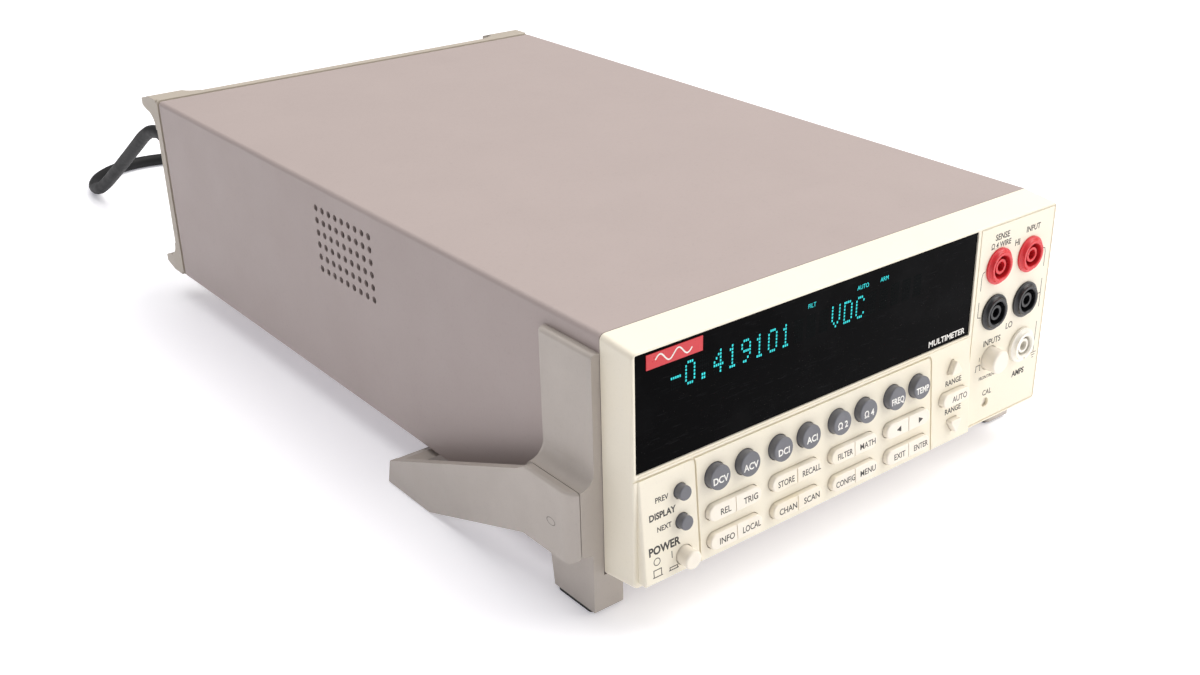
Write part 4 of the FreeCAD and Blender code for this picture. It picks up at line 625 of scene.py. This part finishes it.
def rear_legends():
    """Plain words on the rear panel, read from behind."""
    thick = ink_depth()
    back = node_box("rear_panel")[1][1]
    (left, _, low), (right, _, high) = node_box("rear_jacks")
    middle = (left + right) / 2
    words = [("INPUTS", middle, high + 4.0 * MM, 2.8), ("HI", right + 3.6 * MM, high - 7.3 * MM, 2.6),
             ("LO", right + 3.6 * MM, low + 7.3 * MM, 2.6), ("INPUT", left + 7.3 * MM, low - 3.2 * MM, 2.2),
             ("SENSE", right - 7.3 * MM, low - 3.2 * MM, 2.2)]
    (left, _, low), (right, _, high) = node_box("power_inlet")
    middle = (left + right) / 2
    words += [("LINE", middle, high + 3.4 * MM, 2.8), ("FUSE", middle, low - 3.4 * MM, 2.6)]
    words += [(text, x * MM, z * MM, 2.3) for text, x, z in REAR_WORDS]
    shapes = [on_plane(word(text, high_mm * MM, thick, 0.015, 0.92), (x, back, z), -RIGHT, UP)
              for text, x, z, high_mm in words]
    points, faces = joined(shapes)
    mesh_piece("rear_legends", points, faces, legend_ink(), CASE_BODY, False)


def handle_mark():
    """Small moulded oval on the outer face of the handle's left arm."""
    outer = node_box("handle")[0][0]
    points, faces = ring(1.5 * MM, 0.3 * MM, 0.05 * MM)
    points, faces = on_plane((points * [5 / 3, 1, 1], faces), (outer + 0.02 * MM, -157.5 * MM, 35.5 * MM),
                             (0.0, -1.0, 0.0), UP)
    dark = grained("moulded_mark", shade(colours().grey, 0.5), grain_mm=0.5, depth_mm=0.01, rough=0.6,
                   rough_swing=0.05)
    mesh_piece("handle_mark", points, faces, dark, "handle", False)


# ------------------------------------------------------------------ pieces: legends
KEY_WORDS = (("dc_volts_key", "DCV"), ("ac_volts_key", "ACV"), ("dc_amps_key", "DCI"),
             ("ac_amps_key", "ACI"), ("ohms_two_wire_key", "Ω 2"), ("ohms_four_wire_key", "Ω 4"),
             ("frequency_key", "FREQ"), ("temperature_key", "TEMP"))


def ink_depth():
    return sizes().ink_thick


def legend_ink():
    return bpy.data.materials.get("grey_legend_ink") or printed_ink("grey_legend_ink", colours().ink)


def key_legends():
    """White words on the lower half of the dark keys and grey ones on the rockers."""
    white = printed_ink("white_key_ink", colours().key_ink)
    grey = legend_ink()
    thick = ink_depth()
    for node, text in KEY_WORDS:
        squeeze = 0.82 if len(text) > 3 else 0.95
        shape = moved(word(text, 2.7 * MM, thick, 0.025, squeeze), 0.0, -0.35 * MM)
        points, faces = on_plane(shape, face_of_key(node), RIGHT, PANEL_UP)
        mesh_piece(node + "_legend", points, faces, white, node, False)
    for node, left, left_at, right, right_at in ROCKERS:
        shapes = []
        for text, across in ((left, left_at * MM), (right, right_at * MM)):
            if text in "<>":
                turn = -1 if text == "<" else 1
                outline = [(-1.1 * MM * turn, -1.2 * MM), (1.3 * MM * turn, 0), (-1.1 * MM * turn, 1.2 * MM)]
                shape = prism(outline if turn > 0 else outline[::-1], thick)
            else:
                shape = word(text, 2.5 * MM, thick, 0.012, 0.8 if len(text) > 4 else 0.92)
            shapes.append(moved(shape, across + 0.3 * MM, 0.0))
        points, faces = on_plane(joined(shapes), face_of_key(node), RIGHT, PANEL_UP)
        mesh_piece(node + "_legend", points, faces, grey, node, False)
    shape = moved(word("AUTO", 2.5 * MM, thick, 0.006, 0.92), 1.6 * MM, 0.2 * MM)
    points, faces = on_plane(shape, face_of_key("auto_range_key"), RIGHT, PANEL_UP)
    mesh_piece("auto_range_key_legend", points, faces, grey, "auto_range_key", False)
    return grey


def panel_legends(grey):
    """Words and signs printed on the control panel and the input panel."""
    thick = ink_depth()
    shapes = []

    def on_panel(shape, x, z):
        shapes.append(on_plane(shape, panel_point(x * MM, z * MM), RIGHT, PANEL_UP))

    words = (("PREV", -95.3, 48.4, 2.1, 0.02), ("DISPLAY", -95.4, 42.9, 2.6, 0.035),
             ("NEXT", -95.0, 37.9, 2.0, 0.02), ("POWER", -95.4, 30.9, 3.3, 0.035),
             ("RANGE", 49.5, 43.6, 2.4, 0.02), ("RANGE", 49.4, 31.9, 2.4, 0.02))
    for text, x, z, high, weight in words:
        on_panel(word(text, high * MM, thick, weight, 0.92), x, z)
    on_panel(ring(1.45 * MM, 0.3 * MM, thick), -99.0, 26.6)
    on_panel(stroke([(0, -1.3 * MM), (0, 1.3 * MM)], 0.3 * MM, thick), -92.6, 26.7)
    for x, z, rise in ((-99.0, 22.4, 1.3), (-92.2, 21.6, 0.5)):
        line = [(-2.1, -rise), (-1.6, -rise), (-1.6, rise), (1.6, rise), (1.6, -rise), (2.1, -rise)]
        line = [(a * MM, b * MM) for a, b in line]
        base = [(-1.6 * MM, -rise * MM), (1.6 * MM, -rise * MM)]
        for run in (line, base):
            on_panel(stroke(run, 0.32 * MM, thick), x, z)
    flat = (("SENSE", 73.2, 96.5, 2.7, 0.02), ("Ω 4 WIRE", 72.8, 93.2, 2.4, 0.02),
            ("INPUT", 92.2, 95.2, 2.6, 0.02), ("HI", 82.9, 91.4, 2.8, 0.02), ("LO", 83.4, 56.6, 2.8, 0.01),
            ("INPUTS", 73.4, 52.7, 2.7, 0.015),
            ("FRONT/REAR", 72.8, 37.6, 1.5, 0.02), ("CAL", 73.6, 30.4, 2.5, 0.01),
            ("AMPS", 92.8, 33.0, 2.8, 0.035))
    for text, x, z, high, weight in flat:
        shape = word(text, high * MM, thick, weight, 0.9)
        shapes.append(on_plane(shape, (x * MM, INPUT_FACE, z * MM), RIGHT, UP))
    lines = ([(64.7, 84.0), (63.4, 83.5), (62.9, 82.0), (62.9, 76.4)],
             [(62.7, 71.8), (62.7, 65.4), (64.7, 64.9)],
             [(99.4, 85.0), (101.2, 84.4), (101.7, 82.6), (101.7, 76.6)], [(101.7, 71.5), (101.7, 59.2)],
             [(99.4, 65.3), (101.7, 65.3)], [(101.7, 52.8), (101.7, 39.3)],
             [(99.9, 39.0), (103.5, 39.0)], [(100.6, 37.9), (102.9, 37.9)], [(101.2, 36.8), (102.3, 36.8)],
             [(64.6, 41.6), (65.0, 41.6), (65.0, 44.0), (67.4, 44.0), (67.4, 41.6), (67.8, 41.6)],
             [(66.6, 45.6), (66.6, 47.4)])
    for line in lines:
        shape = stroke([(a * MM, b * MM) for a, b in line], 0.3 * MM, thick)
        shapes.append(on_plane(shape, (0, INPUT_FACE, 0), RIGHT, UP))
    points, faces = joined(shapes)
    mesh_piece("panel_legends", points, faces, grey, CASE_BODY, False)


# ------------------------------------------------------------------ pieces: display
DOTS = {
    "-": "00000 00000 00000 11111 00000 00000 00000",
    "0": "01110 10001 10001 10001 10001 10001 01110",
    "1": "00100 01100 00100 00100 00100 00100 01110",
    "4": "00010 00110 01010 10010 11111 00010 00010",
    "9": "01110 10001 10001 01111 00001 00010 01100",
    ".": "00000 00000 00000 00000 00000 01100 01100",
    "V": "10001 10001 10001 10001 10001 01010 00100",
    "D": "11110 10001 10001 10001 10001 10001 11110",
    "C": "01110 10001 10000 10000 10000 10001 01110",
}
READING = "-0.419101   VDC     "
CELL_PITCH = 6.0
FIRST_CELL = -88.0
DOT_ACROSS = 0.88
DOT_UP = 1.24
DOT_FILL = 0.66
CELL_MIDDLE = 88.9
BLANK_CELL = " ".join(["00000"] * 7)


def dot_cells(lit):
    """Centres in mm of the lit or unlit dots of every 5 by 7 character cell in the row."""
    found = []
    for cell, letter in enumerate(READING):
        rows = DOTS.get(letter, BLANK_CELL).split()
        for row, bits in enumerate(rows):
            for place, bit in enumerate(bits):
                if (bit == "1") == lit:
                    found.append((FIRST_CELL + CELL_PITCH * cell + (place - 2) * DOT_ACROSS,
                                  CELL_MIDDLE + (3 - row) * DOT_UP))
    return np.array(found)


def dots_mesh(centres, wide, high, thick):
    """One thin six-sided block for each centre, all computed together."""
    corner = np.array([(-1, -1), (1, -1), (1, 1), (-1, 1)], float) * [wide / 2, high / 2]
    flat = (centres[:, None, :] + corner[None]).reshape(-1, 2) * MM
    count = len(flat)
    points = np.concatenate([np.column_stack([flat, np.full(count, side * thick / 2)]) for side in (-1, 1)])
    low = np.arange(4)
    high_side = low + count
    block = [high_side, low[::-1]]
    block += [(low[k], low[(k + 1) % 4], high_side[(k + 1) % 4], high_side[k]) for k in range(4)]
    faces = (np.arange(0, count, 4)[:, None, None] + np.array(block)[None]).reshape(-1, 4)
    return points, faces.tolist()


def window_piece(name, shape, origin, material):
    points, faces = on_plane(shape, origin, RIGHT, UP)
    mesh_piece(name, points, faces, material, CASE_BODY, False)


BADGE_MM = [(-100.1, 95.0), (-77.0, 95.0), (-77.0, 100.2), (-100.1, 100.2)]
BADGE_THICK = 0.25 * MM
WAVE_FROM, WAVE_TO, WAVE_MIDDLE, WAVE_HIGH, WAVE_TURNS = -96.5, -81.5, 97.7, 1.5, 2


def build_display():
    """Window, red badge with a plain wave on it, lit characters and faint unlit cells.
    The wave's height is its middle plus its reach times the sine of two turns over its length."""
    finish_nodes(smoked_acrylic(), "display_window")
    face = node_box("display_window")[0][1]
    thick = 0.03 * MM
    lit = phosphor("lit_phosphor", colours().glow, sizes().glow_strength)
    unlit = phosphor("unlit_phosphor", linear("#151C1D"), 0.35)
    origin = (0, face - thick / 2, 0)
    dot = (DOT_ACROSS * DOT_FILL, DOT_UP * DOT_FILL, thick)
    shapes = [dots_mesh(dot_cells(True), *dot)]
    for text, x in (("FILT", -27.9), ("AUTO", -3.0), ("ARM", 7.9)):
        shapes.append(moved(word(text, 1.7 * MM, thick, 0.0, 0.9), x * MM, 96.5 * MM))
    window_piece("display_characters", joined(shapes), origin, lit)
    window_piece("display_unlit_cells", dots_mesh(dot_cells(False), *dot), origin, unlit)
    white = printed_ink("white_window_ink", linear("#E4E2DC"))
    legend = moved(word("MULTIMETER", 2.6 * MM, thick, 0.022, 1.06), 45.8 * MM, 62.3 * MM)
    window_piece("window_legend", legend, origin, white)
    red = polyamide("red_badge_film", colours().badge)
    plate = prism(np.array(BADGE_MM) * MM, BADGE_THICK)
    window_piece("window_badge", plate, (0, face - BADGE_THICK / 2, 0), red)
    wave_x = np.linspace(WAVE_FROM, WAVE_TO, 33)
    share = (wave_x - WAVE_FROM) / (WAVE_TO - WAVE_FROM)
    wave = np.column_stack([wave_x, WAVE_MIDDLE + WAVE_HIGH * np.sin(share * WAVE_TURNS * 2 * np.pi)]) * MM
    window_piece("badge_wave", stroke(wave, 0.5 * MM, thick), (0, face - BADGE_THICK - thick / 2, 0), white)


# ------------------------------------------------------------------ pieces: mains cord
CORD_ROUTE = [
    (-82.0, 236.0, 68.0), (-82.0, 250.0, 67.0), (-82.0, 264.0, 61.2), (-82.0, 280.0, 51.0),
    (-82.0, 303.0, 36.7),
    (-82.2, 326.0, 22.3), (-82.8, 343.0, 11.6), (-83.0, 357.0, 5.4), (-79.9, 372.0, 3.9), (-71.1, 385.1, 3.8),
    (-57.9, 394.0, 3.8), (-42.3, 397.2, 3.8), (-26.6, 394.2, 3.8), (0.0, 383.0, 3.9), (22.0, 373.6, 3.9),
]
COIL_CENTRE = (30.0, 325.0)
COIL_OUTER = 42.0
COIL_INNER = 35.0
LAYERS = (3.9, 10.7, 17.4)
POINTS_PER_TURN = 16
PLUG_MIDDLE = 10.3
TURN_SETTLED = 0.62                 # share of a turn after which it moves over to the next one
COIL_START = math.radians(66)


def coil_points():
    """Turns of the spare cord, clockwise from above: out, in, in, in, out, out, over three layers."""
    places = [(COIL_OUTER, LAYERS[0]), (COIL_INNER, LAYERS[0]), (COIL_INNER, LAYERS[1]),
              (COIL_INNER, LAYERS[2]), (COIL_OUTER, LAYERS[2]), (COIL_OUTER, LAYERS[1])]
    total = int(round((len(places) + COIL_START / (2 * math.pi)) * POINTS_PER_TURN))
    points = []
    for step in range(total + 1):
        turn = step / POINTS_PER_TURN
        index = min(int(turn), len(places) - 1)
        late = (turn - index - TURN_SETTLED) / (1 - TURN_SETTLED)
        share = min(max(late, 0.0), 1.0) if index < len(places) - 1 else 0.0
        share = share * share * (3 - 2 * share)
        here = places[index]
        following = places[min(index + 1, len(places) - 1)]
        radius = here[0] + (following[0] - here[0]) * share
        level = here[1] + (following[1] - here[1]) * share
        angle = COIL_START - 2 * math.pi * turn
        points.append((COIL_CENTRE[0] + radius * math.cos(angle),
                       COIL_CENTRE[1] + radius * math.sin(angle), level))
    return points


def build_cord():
    """Mains cord as one smooth line: from the connector to the table, into the coil and the plug."""
    radius = sizes().cord_thick / 2
    end_x = COIL_CENTRE[0] + COIL_OUTER
    into_plug = [(end_x, COIL_CENTRE[1] - back, PLUG_MIDDLE) for back in (14.0, 20.0)]
    route = CORD_ROUTE + coil_points() + into_plug
    curve = bpy.data.curves.new("mains_cord", "CURVE")
    curve.dimensions = "3D"
    spline = curve.splines.new("NURBS")
    spline.points.add(len(route) - 1)
    flat = np.column_stack([np.array(route) * MM, np.ones(len(route))])
    spline.points.foreach_set("co", flat.ravel())
    spline.order_u = 3
    spline.use_endpoint_u = True
    spline.resolution_u = 6
    curve.bevel_depth = radius
    curve.bevel_resolution = 5
    curve.use_fill_caps = True
    cord = bpy.data.objects.new("mains_cord", curve)
    bpy.context.scene.collection.objects.link(cord)
    pvc = black_pvc()
    curve.materials.append(pvc)
    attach(cord, CASE_BODY)
    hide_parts("power_cord", "cord_coil")
    finish_nodes(pvc, "cord_socket", "cord_plug")


# ------------------------------------------------------------------ add-on
class METER_OT_stage(bpy.types.Operator):
    """Make the floor, the camera and the studio lights"""
    bl_idname = "meter.stage"
    bl_label = "Stage"

    def execute(self, context):
        build_stage()
        return {"FINISHED"}


class METER_OT_cord(bpy.types.Operator):
    """Make the mains cord and finish its connector and plug"""
    bl_idname = "meter.cord"
    bl_label = "Mains cord"

    def execute(self, context):
        build_cord()
        return {"FINISHED"}


class METER_OT_case(bpy.types.Operator):
    """Finish the sleeve, front bezel, ears, handle and feet"""
    bl_idname = "meter.case"
    bl_label = "Case"

    def execute(self, context):
        build_case()
        return {"FINISHED"}


class METER_OT_inside(bpy.types.Operator):
    """Finish the boards, chassis and transformer"""
    bl_idname = "meter.inside"
    bl_label = "Inside"

    def execute(self, context):
        build_inside()
        return {"FINISHED"}


class METER_OT_keys(bpy.types.Operator):
    """Finish the keys and print their legends"""
    bl_idname = "meter.keys"
    bl_label = "Keys and legends"

    def execute(self, context):
        build_keys()
        panel_legends(key_legends())
        return {"FINISHED"}


class METER_OT_inputs(bpy.types.Operator):
    """Finish the front jacks"""
    bl_idname = "meter.inputs"
    bl_label = "Inputs"

    def execute(self, context):
        build_inputs()
        return {"FINISHED"}


class METER_OT_display(bpy.types.Operator):
    """Finish the window and light its characters"""
    bl_idname = "meter.display"
    bl_label = "Display"

    def execute(self, context):
        build_display()
        return {"FINISHED"}


class METER_OT_rear(bpy.types.Operator):
    """Finish the rear bezel, panel and connectors"""
    bl_idname = "meter.rear"
    bl_label = "Rear"

    def execute(self, context):
        build_rear()
        return {"FINISHED"}


STEPS = ("stage", "cord", "case", "inside", "keys", "inputs", "display", "rear")


class METER_PT_panel(bpy.types.Panel):
    """Lists the steps and the settings"""
    bl_idname = "METER_PT_panel"
    bl_label = "Multimeter"
    bl_space_type = "VIEW_3D"
    bl_region_type = "UI"
    bl_category = "Multimeter"

    def draw(self, context):
        for step in STEPS:
            self.layout.operator("meter." + step)
        for group in (context.scene.meter_colours, context.scene.meter_sizes):
            for name in group.__annotations__:
                self.layout.prop(group, name)


CLASSES = (MeterColours, MeterSizes, METER_OT_stage, METER_OT_cord, METER_OT_case, METER_OT_inside,
           METER_OT_keys, METER_OT_inputs, METER_OT_display, METER_OT_rear, METER_PT_panel)


def register():
    for item in CLASSES:
        bpy.utils.register_class(item)
    bpy.types.Scene.meter_colours = bpy.props.PointerProperty(type=MeterColours)
    bpy.types.Scene.meter_sizes = bpy.props.PointerProperty(type=MeterSizes)


def unregister():
    del bpy.types.Scene.meter_sizes
    del bpy.types.Scene.meter_colours
    for item in reversed(CLASSES):
        bpy.utils.unregister_class(item)


def main():
    register()
    for step in STEPS:
        getattr(bpy.ops.meter, step)()


if __name__ == "__main__":
    main()
